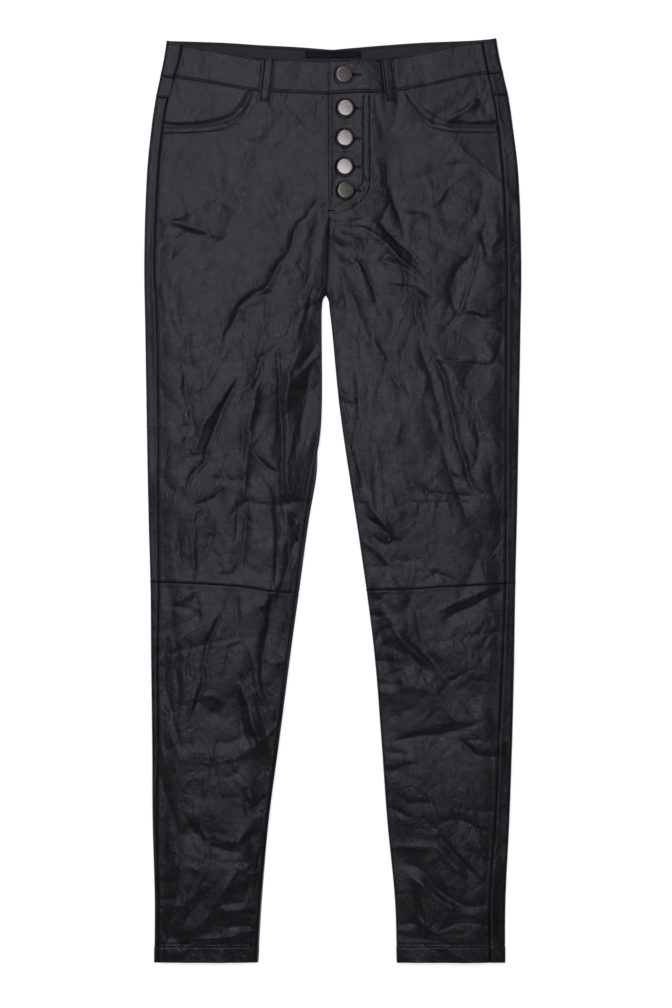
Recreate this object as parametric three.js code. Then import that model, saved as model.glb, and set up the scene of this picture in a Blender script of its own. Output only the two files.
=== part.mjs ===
// Skinny high-waisted trousers in black leather, laid flat on their back, button fly fastened.
// Millimetres. X runs across, with the wearer's left at +X. Y runs up the leg. Z is up.
import * as THREE from 'three';
import { mergeVertices } from 'three/addons/utils/BufferGeometryUtils.js';

// Driving sizes
const SEAM_GAP = 0.3;
const LEATHER = 1.1;
const HEM_LEATHER = 1.8;
const HEM_DEPTH = 17;
const HEM_Y = -504.5;
const BAND_HEIGHT = 38;
const FRONT_BAND_THICK = 2.2;
const BACK_BAND_THICK = 1.4;
const BAND_FACING_THICK = 1.0;
const EDGE_RADIUS = 2.2;
const EDGE_ARC = 3.06;

// Heights of the middle of each layer above the surface that the trousers lie on
const BACK_LEVEL = LEATHER / 2;
const BACK_BAND_LEVEL = 2.2;
const FRONT_LEVEL = 3.7;
const FRONT_BAND_LEVEL = 6.2;
const BAND_FACING_LEVEL = BACK_BAND_LEVEL + (BACK_BAND_THICK + BAND_FACING_THICK) / 2 + SEAM_GAP;

// Where the layers rise to the waistband: heights on the front, lengths below the seam behind
const FRONT_RISE = { fromY: 375, toY: 441 };
const BACK_RISE = { from: 56, to: 14 };

// Places down the front
const CROTCH_Y = 222;
const CROTCH_ROLL = { below: 6, above: 8 };
const FLY_END_Y = 314;
const PLAIN_TOP_Y = 350;
const FRONT_TOP_Y = 443;
const KNEE_Y = -95;
const KNEE_BLEND_Y = -60;
const CALF_BLEND_Y = -130;
const YOKE_SIDE_HEIGHT = 440;
const POCKET_CORNER_HEIGHT = 460;
const BAND_MIDDLE_Y = 480;
const FACING_HEIGHT = 495;

// The middle seam, as distances from the middle line at the crotch and where the fly ends
const MIDDLE_SEAM = { crotchX: -7.5, frontX: -3.5, backX: 0 };

// The fly, and the places over which the left front and the left band come down to the right ones
const FLY_WIDTH = 40;
const FLY_DROP = { fromX: 44, toX: 62, fromY: 268, toY: 290 };
const BAND_DROP = { fromX: 38, toX: 52 };
const OVERHANG_START = { fromY: 304, toY: 313 };
const UNDERLAP_INSET = { bottom: 2, top: 1 };
const FLY_LIFT = LEATHER + SEAM_GAP;
const BAND_LIFT = FRONT_BAND_THICK + SEAM_GAP;
const FLY_OVERHANG = 1.15;

// Small pieces
const LOOP_WIDTH = 12;
const LOOP_THICK = 1.2;
const LOOP_BELOW_BAND = 11;
const LOOP_STEP = { from: 8, to: 2 };
const FRONT_LOOP_TOP_INSET = 0.5;
const BACK_LOOP_TOP_INSET = 1;
const POCKET_UNDERLAP = 10;
const POCKET_DIP = 1.45;
const POCKET_DIP_END = { from: 2, to: 14 };
const POCKET_TOP_DROP = 4;
const POCKET_FACING_THICK = 1.0;
const LABEL_SIZE = { width: 61, height: 7.6, thick: 1.0 };
const LABEL_PLACE = { x: 0.5, y: 486 };

// Outline of each half of the trousers, as distances from the middle line towards the side
const SIDES = {
  right: {
    sign: -1,
    outer: [
      { y: 504.5, at: 180.5, seam: 18 },
      { y: 480, at: 184.4, seam: 17.5 },
      { y: 440, at: 192.8, seam: 14 },
      { y: 410, at: 197.6, seam: 13 },
      { y: 355, at: 203, seam: 13 },
      { y: 262, at: 205.9, seam: 11.8 },
      { y: 185, at: 204.8, seam: 13.6 },
      { y: 66, at: 202.8, seam: 13 },
      { y: -22, at: 201.1, seam: 11 },
      { y: -98, at: 199, seam: 9.8 },
      { y: -174, at: 198.4, seam: 7.5 },
      { y: -261, at: 197.3, seam: 7.4 },
      { y: -348, at: 196.7, seam: 5 },
      { y: -436, at: 194.2, seam: 4 },
      { y: -504.5, at: 194.6, seam: 4 },
    ],
    // How far the inseam lies over the inner fold on to the front of the leg
    inner: [
      { y: 222, at: 10.4, inseam: 1.5 },
      { y: 207, at: 11.6, inseam: 1.5 },
      { y: 185, at: 11.7, inseam: 1.5 },
      { y: 109, at: 11.3, inseam: 1.5 },
      { y: 66, at: 13.1, inseam: 2.5 },
      { y: 22, at: 18.4, inseam: 6 },
      { y: -22, at: 26.1, inseam: 6 },
      { y: -98, at: 36.4, inseam: 5.5 },
      { y: -174, at: 46.7, inseam: 5 },
      { y: -261, at: 57.5, inseam: 5 },
      { y: -348, at: 68.4, inseam: 5 },
      { y: -436, at: 76.9, inseam: 5 },
      { y: -504.5, at: 81.2, inseam: 5 },
    ],
    knee: [
      { at: 36, y: -100.4 },
      { at: 68, y: -98.9 },
      { at: 96, y: -94.3 },
      { at: 150, y: -90.5 },
      { at: 200, y: -89 },
    ],
    bandTop: [
      { at: -40, y: 479.5 },
      { at: 3.5, y: 480.2 },
      { at: 34, y: 481 },
      { at: 80, y: 481.8 },
      { at: 93.5, y: 484.8 },
      { at: 120, y: 489.5 },
      { at: 146, y: 493.4 },
      { at: 163, y: 496.4 },
    ],
    bandSeam: [
      { at: -40, y: 445.4 },
      { at: -15, y: 444.2 },
      { at: 5, y: 442.7 },
      { at: 34, y: 443.9 },
      { at: 67, y: 445.2 },
      { at: 87, y: 446.5 },
      { at: 107, y: 449.8 },
      { at: 133, y: 454.5 },
      { at: 171, y: 460.4 },
    ],
    backTop: [
      { at: 0, y: 491.6 },
      { at: 40, y: 494.7 },
      { at: 80, y: 496.8 },
      { at: 120, y: 499.4 },
      { at: 180, y: 501.3 },
    ],
    // Cut edge of the pocket mouth, from the waistband round to the side seam
    pocket: [
      { at: 87.6, y: 446.4 },
      { at: 93.5, y: 433.3 },
      { at: 101.4, y: 422.8 },
      { at: 113.3, y: 414.8 },
      { at: 130.5, y: 410.9 },
      { at: 153, y: 409 },
      { at: 186, y: 408.2 },
    ],
    yokeSideY: 439,
    yokeBackY: 395,
    frontInnerStops: [8, 3.4, 1.6, 0],
    backInnerStops: [14, 8.4, 6.6, 5, 3.2, 1.5, 0],
  },
  left: {
    sign: 1,
    outer: [
      { y: 504.5, at: 178, seam: 16 },
      { y: 480, at: 182.4, seam: 16 },
      { y: 440, at: 191.7, seam: 17 },
      { y: 410, at: 196.3, seam: 16.5 },
      { y: 355, at: 202.8, seam: 17 },
      { y: 262, at: 205.9, seam: 16 },
      { y: 185, at: 205, seam: 15.5 },
      { y: 66, at: 202.8, seam: 14 },
      { y: -22, at: 201.1, seam: 12.6 },
      { y: -98, at: 199.3, seam: 11.4 },
      { y: -174, at: 198.1, seam: 13 },
      { y: -261, at: 196, seam: 15 },
      { y: -348, at: 192.9, seam: 15.5 },
      { y: -436, at: 188.7, seam: 17.5 },
      { y: -504.5, at: 188.1, seam: 17 },
    ],
    // This inseam lies just beneath the inner fold
    inner: [
      { y: 222, at: -4.6, inseam: -1.2 },
      { y: 207, at: -3.3, inseam: -1.2 },
      { y: 185, at: -0.7, inseam: -1.2 },
      { y: 109, at: 6.6, inseam: -1.2 },
      { y: 66, at: 12.3, inseam: -1.2 },
      { y: 22, at: 18.9, inseam: -1.2 },
      { y: -22, at: 25.8, inseam: -1.2 },
      { y: -98, at: 36.9, inseam: -1.2 },
      { y: -174, at: 46.1, inseam: -1.2 },
      { y: -261, at: 53.1, inseam: -1.2 },
      { y: -348, at: 59.4, inseam: -1.2 },
      { y: -436, at: 67.9, inseam: -1.2 },
      { y: -504.5, at: 70, inseam: -1.2 },
    ],
    knee: [
      { at: 36, y: -98 },
      { at: 88, y: -96.4 },
      { at: 132, y: -93.5 },
      { at: 185, y: -90.6 },
      { at: 200, y: -90.2 },
    ],
    bandTop: [
      { at: -5, y: 480.6 },
      { at: 28, y: 479.2 },
      { at: 48.7, y: 479.9 },
      { at: 69.5, y: 483.5 },
      { at: 97, y: 488.4 },
      { at: 125, y: 494.6 },
      { at: 160, y: 500 },
    ],
    bandSeam: [
      { at: -5, y: 442.6 },
      { at: 28, y: 444.4 },
      { at: 56, y: 444.6 },
      { at: 76.5, y: 447.2 },
      { at: 104, y: 451.4 },
      { at: 139, y: 460 },
      { at: 166, y: 464.6 },
    ],
    backTop: [
      { at: 0, y: 491.6 },
      { at: 14, y: 493 },
      { at: 56, y: 496.5 },
      { at: 97, y: 499.4 },
      { at: 153, y: 501.7 },
      { at: 178, y: 503.9 },
    ],
    pocket: [
      { at: 78.5, y: 447.4 },
      { at: 86.2, y: 434.7 },
      { at: 97.3, y: 422.2 },
      { at: 108.4, y: 415.2 },
      { at: 122.3, y: 411.1 },
      { at: 139, y: 409.7 },
      { at: 182, y: 409 },
    ],
    yokeSideY: 442,
    yokeBackY: 395,
    frontInnerStops: [14, 9, 6.2, 4, 2.2, 0],
    backInnerStops: [8, 3.2, 1.5, 0],
  },
};

// Largest folds of the front. A row runs from one end to the other, bowed sideways in the middle,
// with its half width and its height, which is negative in a trough.
const FOLDS = [
  { x1: -14, y1: 338, x2: -74, y2: 224, bow: 0, width: 12, height: -1.6 },
  { x1: -161, y1: 240, x2: -148, y2: 77, bow: -9, width: 10, height: -1.3 },
  { x1: -19, y1: 300, x2: -52, y2: 169, bow: 2, width: 15, height: -1.3 },
  { x1: -23, y1: 235, x2: -47, y2: 20, bow: -10, width: 10, height: 1.8 },
  { x1: -57, y1: 190, x2: -55, y2: -22, bow: 0, width: 11, height: -1.7 },
  { x1: -60, y1: 169, x2: -159, y2: 11, bow: -9, width: 11, height: -1.5 },
  { x1: -75, y1: 160, x2: -172, y2: 20, bow: -9, width: 9, height: 1.3 },
  { x1: -81, y1: 150, x2: -97, y2: 0, bow: -2, width: 11, height: 1.7 },
  { x1: -90, y1: 0, x2: -101, y2: -87, bow: 0, width: 10, height: -1.2 },
  { x1: -87, y1: 53, x2: -65, y2: -90, bow: 14, width: 10, height: -1.5 },
  { x1: -66, y1: -8, x2: -32, y2: -29, bow: 0, width: 13, height: -1.4 },
  { x1: -188, y1: 303, x2: -118, y2: 287, bow: 3, width: 9, height: 1.2 },
  { x1: 95, y1: 232, x2: 168, y2: 4, bow: -7, width: 12, height: -1.7 },
  { x1: 112, y1: 226, x2: 184, y2: 20, bow: -7, width: 11, height: 1.4 },
  { x1: 25, y1: 298, x2: 100, y2: 240, bow: 6, width: 9, height: 1.5 },
  { x1: 8, y1: 281, x2: 53, y2: 227, bow: 0, width: 10, height: -1.4 },
  { x1: 5, y1: 273, x2: 19, y2: 49, bow: 6, width: 12, height: -1.5 },
  { x1: 49, y1: 425, x2: 78, y2: 286, bow: 3, width: 10, height: -1.2 },
  { x1: 161, y1: 282, x2: 108, y2: 169, bow: 4, width: 12, height: -1.5 },
  { x1: 50, y1: 166, x2: 84, y2: 107, bow: 0, width: 11, height: -1.4 },
  { x1: 43, y1: 142, x2: 49, y2: 50, bow: 0, width: 11, height: -1.1 },
  { x1: 35, y1: 2, x2: 66, y2: -42, bow: 3, width: 9, height: 1.4 },
  { x1: 68, y1: 90, x2: 60, y2: -20, bow: 0, width: 14, height: 1.2 },
  { x1: -166, y1: -98, x2: -161, y2: -283, bow: -20, width: 9, height: -1.4 },
  { x1: -121, y1: -106, x2: -163, y2: -240, bow: -3, width: 10, height: 1.7 },
  { x1: -68, y1: -92, x2: -68, y2: -222, bow: -3, width: 13, height: -1.7 },
  { x1: -98, y1: -212, x2: -87, y2: -270, bow: 0, width: 12, height: -1.3 },
  { x1: -94, y1: -214, x2: -66, y2: -286, bow: -3, width: 9, height: 1.5 },
  { x1: -128, y1: -376, x2: -88, y2: -370, bow: -4, width: 9, height: -1.5 },
  { x1: -100, y1: -398, x2: -160, y2: -480, bow: 2, width: 9, height: 1.8 },
  { x1: -114, y1: -392, x2: -170, y2: -466, bow: 2, width: 9, height: -1.5 },
  { x1: 184, y1: -96, x2: 128, y2: -127, bow: 2, width: 9, height: -1.5 },
  { x1: 66, y1: -138, x2: 108, y2: -182, bow: 2, width: 9, height: 1.8 },
  { x1: 72, y1: -263, x2: 163, y2: -240, bow: -5, width: 12, height: -1.8 },
  { x1: 132, y1: -257, x2: 181, y2: -281, bow: 0, width: 9, height: -1.3 },
  { x1: 119, y1: -367, x2: 168, y2: -421, bow: -3, width: 9, height: -1.5 },
  { x1: 77, y1: -396, x2: 163, y2: -442, bow: 4, width: 12, height: -1.6 },
  { x1: 90, y1: -414, x2: 134, y2: -444, bow: 0, width: 9, height: 1.4 },
];
const FOLD_LIMIT = 1.6;
const FOLD_FADE = { fromY: 340, toY: 400, share: 0.7 };

// Buttons down the fly, from the waistband, and the front loops at their top and bottom
const BUTTONS = [
  { x: 12.5, y: 463 },
  { x: 14, y: 426.9 },
  { x: 13.5, y: 394.5 },
  { x: 13.2, y: 363.4 },
  { x: 14.2, y: 337.7 },
];
const FRONT_LOOPS = {
  right: { topX: -69.3, bottomX: -74 },
  left: { topX: 59.3, bottomX: 64.3 },
};
const BACK_LOOPS = { right: -118, centre: 0, left: 118 };

// Half profile of a shank button: foot, underside, rim and dome
const BUTTON_SEGMENTS = 16;
const BUTTON_PROFILE = [
  { radius: 0, height: 0 },
  { radius: 4, height: 0 },
  { radius: 4, height: 1.3 },
  { radius: 7.6, height: 1.3 },
  { radius: 8.6, height: 1.9 },
  { radius: 8.7, height: 2.6 },
  { radius: 8, height: 3.3 },
  { radius: 5.5, height: 3.9 },
  { radius: 2.8, height: 4.15 },
  { radius: 0, height: 4.2 },
];

// Materials
const leather = new THREE.MeshStandardMaterial({ color: 0x2c2c30, roughness: 0.45, metalness: 0 });
const innerFace = new THREE.MeshStandardMaterial({ color: 0x232326, roughness: 0.55, metalness: 0 });
const labelCloth = new THREE.MeshStandardMaterial({ color: 0x141416, roughness: 0.8, metalness: 0 });
const steel = new THREE.MeshStandardMaterial({ color: 0x8c8c8e, roughness: 0.35, metalness: 1 });

// Number helpers
const mix = (from, to, share) => from + (to - from) * share;
const clamp01 = (value) => Math.min(1, Math.max(0, value));

function ease(from, to, value) {
  const share = clamp01((value - from) / (to - from));
  return share * share * (3 - 2 * share);
}

// Smooth curve through one column of a table whose rows are sorted along another column
function curve(table, key, where, column) {
  const rising = table[0][key] < table[table.length - 1][key];
  const rows = rising ? table : [...table].reverse();
  const last = rows.length - 1;
  const at = Math.min(rows[last][key], Math.max(rows[0][key], where));
  let i = 0;
  while (i < last - 1 && at > rows[i + 1][key]) i += 1;
  const slope = (k) => {
    const before = rows[Math.max(0, k - 1)];
    const after = rows[Math.min(last, k + 1)];
    return (after[column] - before[column]) / (after[key] - before[key]);
  };
  const span = rows[i + 1][key] - rows[i][key];
  const t = (at - rows[i][key]) / span;
  const rise = t * t * (3 - 2 * t);
  const lead = t * (1 - t) * (1 - t) * span * slope(i);
  const trail = t * t * (1 - t) * span * slope(i + 1);
  return mix(rows[i][column], rows[i + 1][column], rise) + lead - trail;
}

// Outline read at one height
const outerEdge = (side, y) => curve(SIDES[side].outer, 'y', y, 'at') - LEATHER / 2;
const sideSeam = (side, y) => curve(SIDES[side].outer, 'y', y, 'seam');
const innerEdge = (side, y) => curve(SIDES[side].inner, 'y', y, 'at') + LEATHER / 2;
const inseam = (side, y) => curve(SIDES[side].inner, 'y', y, 'inseam');
const kneeY = (side, reach) => curve(SIDES[side].knee, 'at', reach, 'y');
const bandTopY = (side, reach) => curve(SIDES[side].bandTop, 'at', reach, 'y');
const bandSeamY = (side, reach) => curve(SIDES[side].bandSeam, 'at', reach, 'y');
const backTopY = (side, reach) => curve(SIDES[side].backTop, 'at', reach, 'y');
const aboveCrotch = (y) => clamp01((y - CROTCH_Y) / (FLY_END_Y - CROTCH_Y));
const centreFrontX = (y) => mix(MIDDLE_SEAM.crotchX, MIDDLE_SEAM.frontX, aboveCrotch(y));
const centreBackX = (y) => mix(MIDDLE_SEAM.crotchX, MIDDLE_SEAM.backX, aboveCrotch(y));

// Top edge of a front panel: the pocket mouth near the side, then the waistband seam
function frontTopY(side, reach) {
  const pocket = SIDES[side].pocket;
  if (reach < pocket[0].at) return bandSeamY(side, reach) - SEAM_GAP / 2;
  return curve(pocket, 'at', reach, 'y') - SEAM_GAP / 2;
}

// Yoke seam of the back, from the middle out to the side
function yokeSeamY(side, reach) {
  const end = outerEdge(side, YOKE_SIDE_HEIGHT);
  return mix(SIDES[side].yokeBackY, SIDES[side].yokeSideY, ease(0, end, reach));
}

// Sum of the folds at one place, held inside the room between the layers
function foldHeight(x, y) {
  let sum = 0;
  for (const fold of FOLDS) {
    const dx = fold.x2 - fold.x1;
    const dy = fold.y2 - fold.y1;
    const length = Math.hypot(dx, dy);
    const along = ((x - fold.x1) * dx + (y - fold.y1) * dy) / (length * length);
    if (along <= 0 || along >= 1) continue;
    const aside = ((y - fold.y1) * dx - (x - fold.x1) * dy) / length;
    const off = (aside - fold.bow * 4 * along * (1 - along)) / fold.width;
    const taper = Math.sqrt(Math.sin(Math.PI * along));
    sum += fold.height * taper * Math.exp(-off * off);
  }
  const fade = 1 - FOLD_FADE.share * ease(FOLD_FADE.fromY, FOLD_FADE.toY, y);
  return FOLD_LIMIT * Math.tanh(sum / FOLD_LIMIT) * fade;
}

// The hem is turned up twice, so the wall is thicker there, with a short step at its top
const HEM_STEP = { below: HEM_Y + HEM_DEPTH - 1, above: HEM_Y + HEM_DEPTH + 1 };
const hemShare = (y) => 1 - ease(HEM_STEP.below, HEM_STEP.above, y);
const legThickness = (y) => mix(LEATHER, HEM_LEATHER, hemShare(y));

function frontLevel(x, y) {
  const rise = (FRONT_BAND_LEVEL - FRONT_LEVEL) * ease(FRONT_RISE.fromY, FRONT_RISE.toY, y);
  return FRONT_LEVEL + rise + foldHeight(x, y);
}

function backLevel(side, reach, y) {
  const seam = backTopY(side, reach) - BAND_HEIGHT;
  const share = ease(seam - BACK_RISE.from, seam - BACK_RISE.to, y);
  const rise = (BACK_BAND_LEVEL - BACK_LEVEL) * share;
  return BACK_LEVEL + rise + (legThickness(y) - LEATHER) / 2;
}

// Room that the left front needs over the fly underlap, and the left band over the right one
function overFly(x, y) {
  const { fromX, toX, fromY, toY } = FLY_DROP;
  return FLY_LIFT * (1 - ease(fromX, toX, x)) * ease(fromY, toY, y);
}

function overBand(x) {
  return BAND_LIFT * (1 - ease(BAND_DROP.fromX, BAND_DROP.toX, x));
}

const flat = () => 0;

// Lengths from the outer fold along one layer to the inner fold, and to the middle line
const arcToInner = (side, y) => outerEdge(side, y) - innerEdge(side, y) - 2 * (EDGE_RADIUS - EDGE_ARC);
const arcToMiddle = (side, y, x) => outerEdge(side, y) - SIDES[side].sign * x - EDGE_RADIUS + EDGE_ARC;

// A place on the flattened tube of one leg. The distance is measured from the outer fold, positive
// over the front and negative over the back. Lift is 1 on the front layer and -1 on the back one.
function tubePlace(side, y, distance, folded) {
  const layer = distance < 0 ? -1 : 1;
  const run = Math.abs(distance);
  const left = arcToInner(side, y) - run;
  if (run < EDGE_ARC) {
    const angle = (run / EDGE_ARC) * (Math.PI / 2);
    const reach = outerEdge(side, y) - EDGE_RADIUS * (1 - Math.cos(angle));
    return { reach, lift: layer * Math.sin(angle) };
  }
  if (folded && left < EDGE_ARC) {
    const turned = Math.max(-1, left / EDGE_ARC) * (Math.PI / 2);
    const past = Math.max(0, -left - EDGE_ARC);
    const reach = innerEdge(side, y) + EDGE_RADIUS * (1 - Math.cos(turned)) + past;
    return { reach, lift: layer * Math.sin(turned) };
  }
  return { reach: outerEdge(side, y) - EDGE_RADIUS - (run - EDGE_ARC), lift: layer };
}

// The legs part at the crotch, where the inner edge turns from a flat one to a fold
const crotchRoll = (y) => (
  1 - ease(CROTCH_Y - CROTCH_ROLL.below, CROTCH_Y + CROTCH_ROLL.above, y)
);

function skin(side, y, distance, raise) {
  const roll = crotchRoll(y);
  const bent = tubePlace(side, y, distance.folded, true);
  const open = tubePlace(side, y, distance.open, false);
  const reach = mix(open.reach, bent.reach, roll);
  const lift = mix(open.lift, bent.lift, roll);
  const x = SIDES[side].sign * reach;
  const front = frontLevel(x, y) + raise(x, y);
  const back = backLevel(side, reach, y);
  return new THREE.Vector3(x, y, mix(back, front, (1 + lift) / 2));
}

// Direction out of the wall, from places a little to each side
const NORMAL_STEP = { across: 0.2, up: 1 };

function skinNormal(side, y, distance, raise) {
  const shifted = (by) => {
    const moved = { folded: distance.folded + by, open: distance.open + by };
    return skin(side, y, moved, raise);
  };
  const across = shifted(NORMAL_STEP.across).sub(shifted(-NORMAL_STEP.across));
  const above = skin(side, y + NORMAL_STEP.up, distance, raise);
  const below = skin(side, y - NORMAL_STEP.up, distance, raise);
  return across.cross(above.sub(below)).normalize();
}

// Columns of a panel, each a distance round the tube as a function of the height
function frontColumns(side, shares, overhang = flat) {
  const start = (y) => sideSeam(side, y) + SEAM_GAP / 2;
  const end = (y) => ({
    folded: arcToInner(side, y) - inseam(side, y) - SEAM_GAP / 2,
    open: arcToMiddle(side, y, centreFrontX(y)) - SEAM_GAP / 2 + overhang(y),
  });
  const stops = SIDES[side].frontInnerStops;
  const between = shares.map((share) => (y) => ({
    folded: mix(start(y), end(y).folded - stops[0], share),
    open: mix(start(y), end(y).open - stops[0], share),
  }));
  const closing = stops.map((stop) => (y) => ({
    folded: end(y).folded - stop,
    open: end(y).open - stop,
  }));
  return [...between, ...closing];
}

const WRAP_SHARES = [1, 0.5, 0.25, 0.1];
const FOLD_STOPS = [0, -EDGE_ARC / 2, -EDGE_ARC];

function wrapColumns(side) {
  const both = (distance) => ({ folded: distance, open: distance });
  const over = WRAP_SHARES.map((share) => (y) => both(share * (sideSeam(side, y) - SEAM_GAP / 2)));
  const under = FOLD_STOPS.map((stop) => () => both(stop));
  return [...over, ...under];
}

function backColumns(side, shares, stops) {
  const end = (y) => ({
    folded: -(arcToInner(side, y) + inseam(side, y) - SEAM_GAP / 2),
    open: -(arcToMiddle(side, y, centreBackX(y)) - SEAM_GAP / 2),
  });
  const between = shares.map((share) => (y) => ({
    folded: mix(-EDGE_ARC, end(y).folded + stops[0], share),
    open: mix(-EDGE_ARC, end(y).open + stops[0], share),
  }));
  const closing = stops.map((stop) => (y) => ({
    folded: end(y).folded + stop,
    open: end(y).open + stop,
  }));
  return [...wrapColumns(side), ...between, ...closing];
}

// Heights of the rows, from spans cut into even steps
function spread(spans) {
  const heights = [spans[0].from];
  for (const span of spans) {
    for (let i = 1; i <= span.steps; i += 1) heights.push(mix(span.from, span.to, i / span.steps));
  }
  return heights;
}

// Closed wall round a grid of middle points, moved half its thickness to either side
function wall(points, normals, thickness) {
  const rows = points.length;
  const columns = points[0].length;
  const positions = [];
  for (const way of [1, -1]) {
    points.forEach((line, i) => line.forEach((point, j) => {
      const half = (way * thickness(point)) / 2;
      positions.push(...point.clone().addScaledVector(normals[i][j], half).toArray());
    }));
  }
  const under = rows * columns;
  const index = (i, j) => i * columns + j;
  const faces = [];
  const quad = (a, b, c, d) => faces.push(a, b, c, a, c, d);
  for (let i = 0; i < rows - 1; i += 1) {
    for (let j = 0; j < columns - 1; j += 1) {
      const a = index(i, j);
      const b = index(i, j + 1);
      const c = index(i + 1, j + 1);
      const d = index(i + 1, j);
      quad(a, b, c, d);
      quad(under + a, under + d, under + c, under + b);
    }
  }
  for (let j = 0; j < columns - 1; j += 1) {
    quad(index(0, j + 1), index(0, j), under + index(0, j), under + index(0, j + 1));
    const top = rows - 1;
    quad(index(top, j), index(top, j + 1), under + index(top, j + 1), under + index(top, j));
  }
  for (let i = 0; i < rows - 1; i += 1) {
    quad(index(i, 0), index(i + 1, 0), under + index(i + 1, 0), under + index(i, 0));
    const end = columns - 1;
    quad(index(i + 1, end), index(i, end), under + index(i, end), under + index(i + 1, end));
  }
  if (signedVolume(positions, faces) < 0) faces.reverse();
  const geometry = new THREE.BufferGeometry();
  geometry.setAttribute('position', new THREE.Float32BufferAttribute(positions, 3));
  geometry.setIndex(faces);
  geometry.computeVertexNormals();
  return geometry;
}

function signedVolume(positions, faces) {
  const corner = (k) => new THREE.Vector3().fromArray(positions, 3 * k);
  let volume = 0;
  for (let f = 0; f < faces.length; f += 3) {
    volume += corner(faces[f]).dot(corner(faces[f + 1]).cross(corner(faces[f + 2])));
  }
  return volume;
}

const trousers = new THREE.Group();

function add(name, geometry, material) {
  const mesh = new THREE.Mesh(geometry, material);
  mesh.name = name;
  trousers.add(mesh);
}

// Height of a row where it meets a column. Seams slope, so it is found again from its first value.
const HEIGHT_PASSES = 3;

function seamHeight(side, firstY, height, column, follow) {
  let y = firstY;
  for (let pass = 0; pass < HEIGHT_PASSES; pass += 1) {
    const { open } = column(y);
    const reach = SIDES[side].sign * skin(side, y, column(y), flat).x;
    y = follow(height, reach, clamp01(open / sideSeam(side, y)));
  }
  return y;
}

// A panel cut from the tube. Each row has a plain height, or a share of the way between two seams
// with a first height to look from, and follow turns it into the height at each column.
function addPanel(name, side, options) {
  const { heights, follow, columns, firstY, raise = flat, thick = legThickness } = options;
  const points = [];
  const normals = [];
  for (const height of heights) {
    const line = [];
    const ways = [];
    for (const column of columns) {
      const y = seamHeight(side, firstY ?? height, height, column, follow);
      line.push(skin(side, y, column(y), raise));
      ways.push(skinNormal(side, y, column(y), raise));
    }
    points.push(line);
    normals.push(ways);
  }
  add(name, wall(points, normals, (point) => thick(point.y)), leather);
}

// A flat strip or patch whose grid of middle points is given
function addPatch(name, points, thickness, material) {
  const upright = points.map((line) => line.map(() => new THREE.Vector3(0, 0, 1)));
  add(name, wall(points, upright, () => thickness), material);
}

// Legs: front and back thighs down to the knee seam, and the calves below it
const THIGH_SPANS = [
  { from: KNEE_Y, to: 205, steps: 17 },
  { from: 205, to: 235, steps: 4 },
  { from: 235, to: FRONT_TOP_Y, steps: 11 },
];
const BACK_THIGH_SPANS = [
  { from: KNEE_Y, to: 205, steps: 17 },
  { from: 205, to: 235, steps: 4 },
  { from: 235, to: FRONT_TOP_Y, steps: 6 },
];
const CALF_SPANS = [
  { from: HEM_Y, to: HEM_STEP.below, steps: 1 },
  { from: HEM_STEP.below, to: HEM_STEP.above, steps: 1 },
  { from: HEM_STEP.above, to: KNEE_Y, steps: 21 },
];
const BACK_CALF_SPANS = [
  { from: HEM_Y, to: HEM_STEP.below, steps: 1 },
  { from: HEM_STEP.below, to: HEM_STEP.above, steps: 1 },
  { from: HEM_STEP.above, to: KNEE_Y, steps: 9 },
];
const CALF_SHARES = [0, 0.11, 0.22, 0.33, 0.44, 0.55, 0.66, 0.77, 0.89];
const BACK_SHARES = [0.3, 0.65];
const BESIDE_POCKET = [0.22, 0.44, 0.66, 0.85];

// Columns of a front thigh pass through the rows of the pocket table at its top edge
function thighShares(side) {
  const places = [...SIDES[side].pocket].reverse().map((row) => row.at);
  const end = SIDES[side].sign * centreFrontX(FRONT_TOP_Y) + SIDES[side].frontInnerStops[0];
  const corner = places[places.length - 1];
  const rest = BESIDE_POCKET.map((share) => mix(corner, end, share));
  return [...places, ...rest].map((at) => (places[0] - at) / (places[0] - end));
}

// Rows stay level in the middle of a panel and bend to its seams near the ends
function followSeams(height, { low, lowAt, lowBlend, high, highAt, highBlend }) {
  if (height < lowBlend) return mix(lowBlend, low, (lowBlend - height) / (lowBlend - lowAt));
  if (height > highBlend) return mix(highBlend, high, (height - highBlend) / (highAt - highBlend));
  return height;
}

const half = SEAM_GAP / 2;
const thighEnds = {
  lowAt: KNEE_Y, lowBlend: KNEE_BLEND_Y, highAt: FRONT_TOP_Y, highBlend: PLAIN_TOP_Y,
};
const calfEnds = {
  low: HEM_Y, lowAt: HEM_Y, lowBlend: HEM_Y + 1, highAt: KNEE_Y, highBlend: CALF_BLEND_Y,
};

function addLeg(side) {
  const { fromY, toY } = OVERHANG_START;
  const overhang = (y) => (side === 'left' ? FLY_OVERHANG * ease(fromY, toY, y) : 0);
  addPanel(`${side}_front_thigh`, side, {
    heights: spread(THIGH_SPANS),
    columns: frontColumns(side, thighShares(side), overhang),
    raise: side === 'left' ? overFly : flat,
    follow: (height, reach) => followSeams(height, {
      ...thighEnds, low: kneeY(side, reach) + half, high: frontTopY(side, reach),
    }),
  });
  addPanel(`${side}_back_thigh`, side, {
    heights: spread(BACK_THIGH_SPANS),
    columns: backColumns(side, BACK_SHARES, SIDES[side].backInnerStops),
    follow: (height, reach, wrap) => followSeams(height, {
      ...thighEnds,
      low: kneeY(side, reach) + half,
      high: (wrap > 0 ? SIDES[side].yokeSideY : yokeSeamY(side, reach)) - half,
    }),
  });
  addPanel(`${side}_front_calf`, side, {
    heights: spread(CALF_SPANS),
    columns: frontColumns(side, CALF_SHARES),
    follow: (height, reach) => followSeams(height, { ...calfEnds, high: kneeY(side, reach) - half }),
  });
  addPanel(`${side}_back_calf`, side, {
    heights: spread(BACK_CALF_SPANS),
    columns: backColumns(side, BACK_SHARES, SIDES[side].backInnerStops),
    follow: (height, reach) => followSeams(height, { ...calfEnds, high: kneeY(side, reach) - half }),
  });
}

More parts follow.
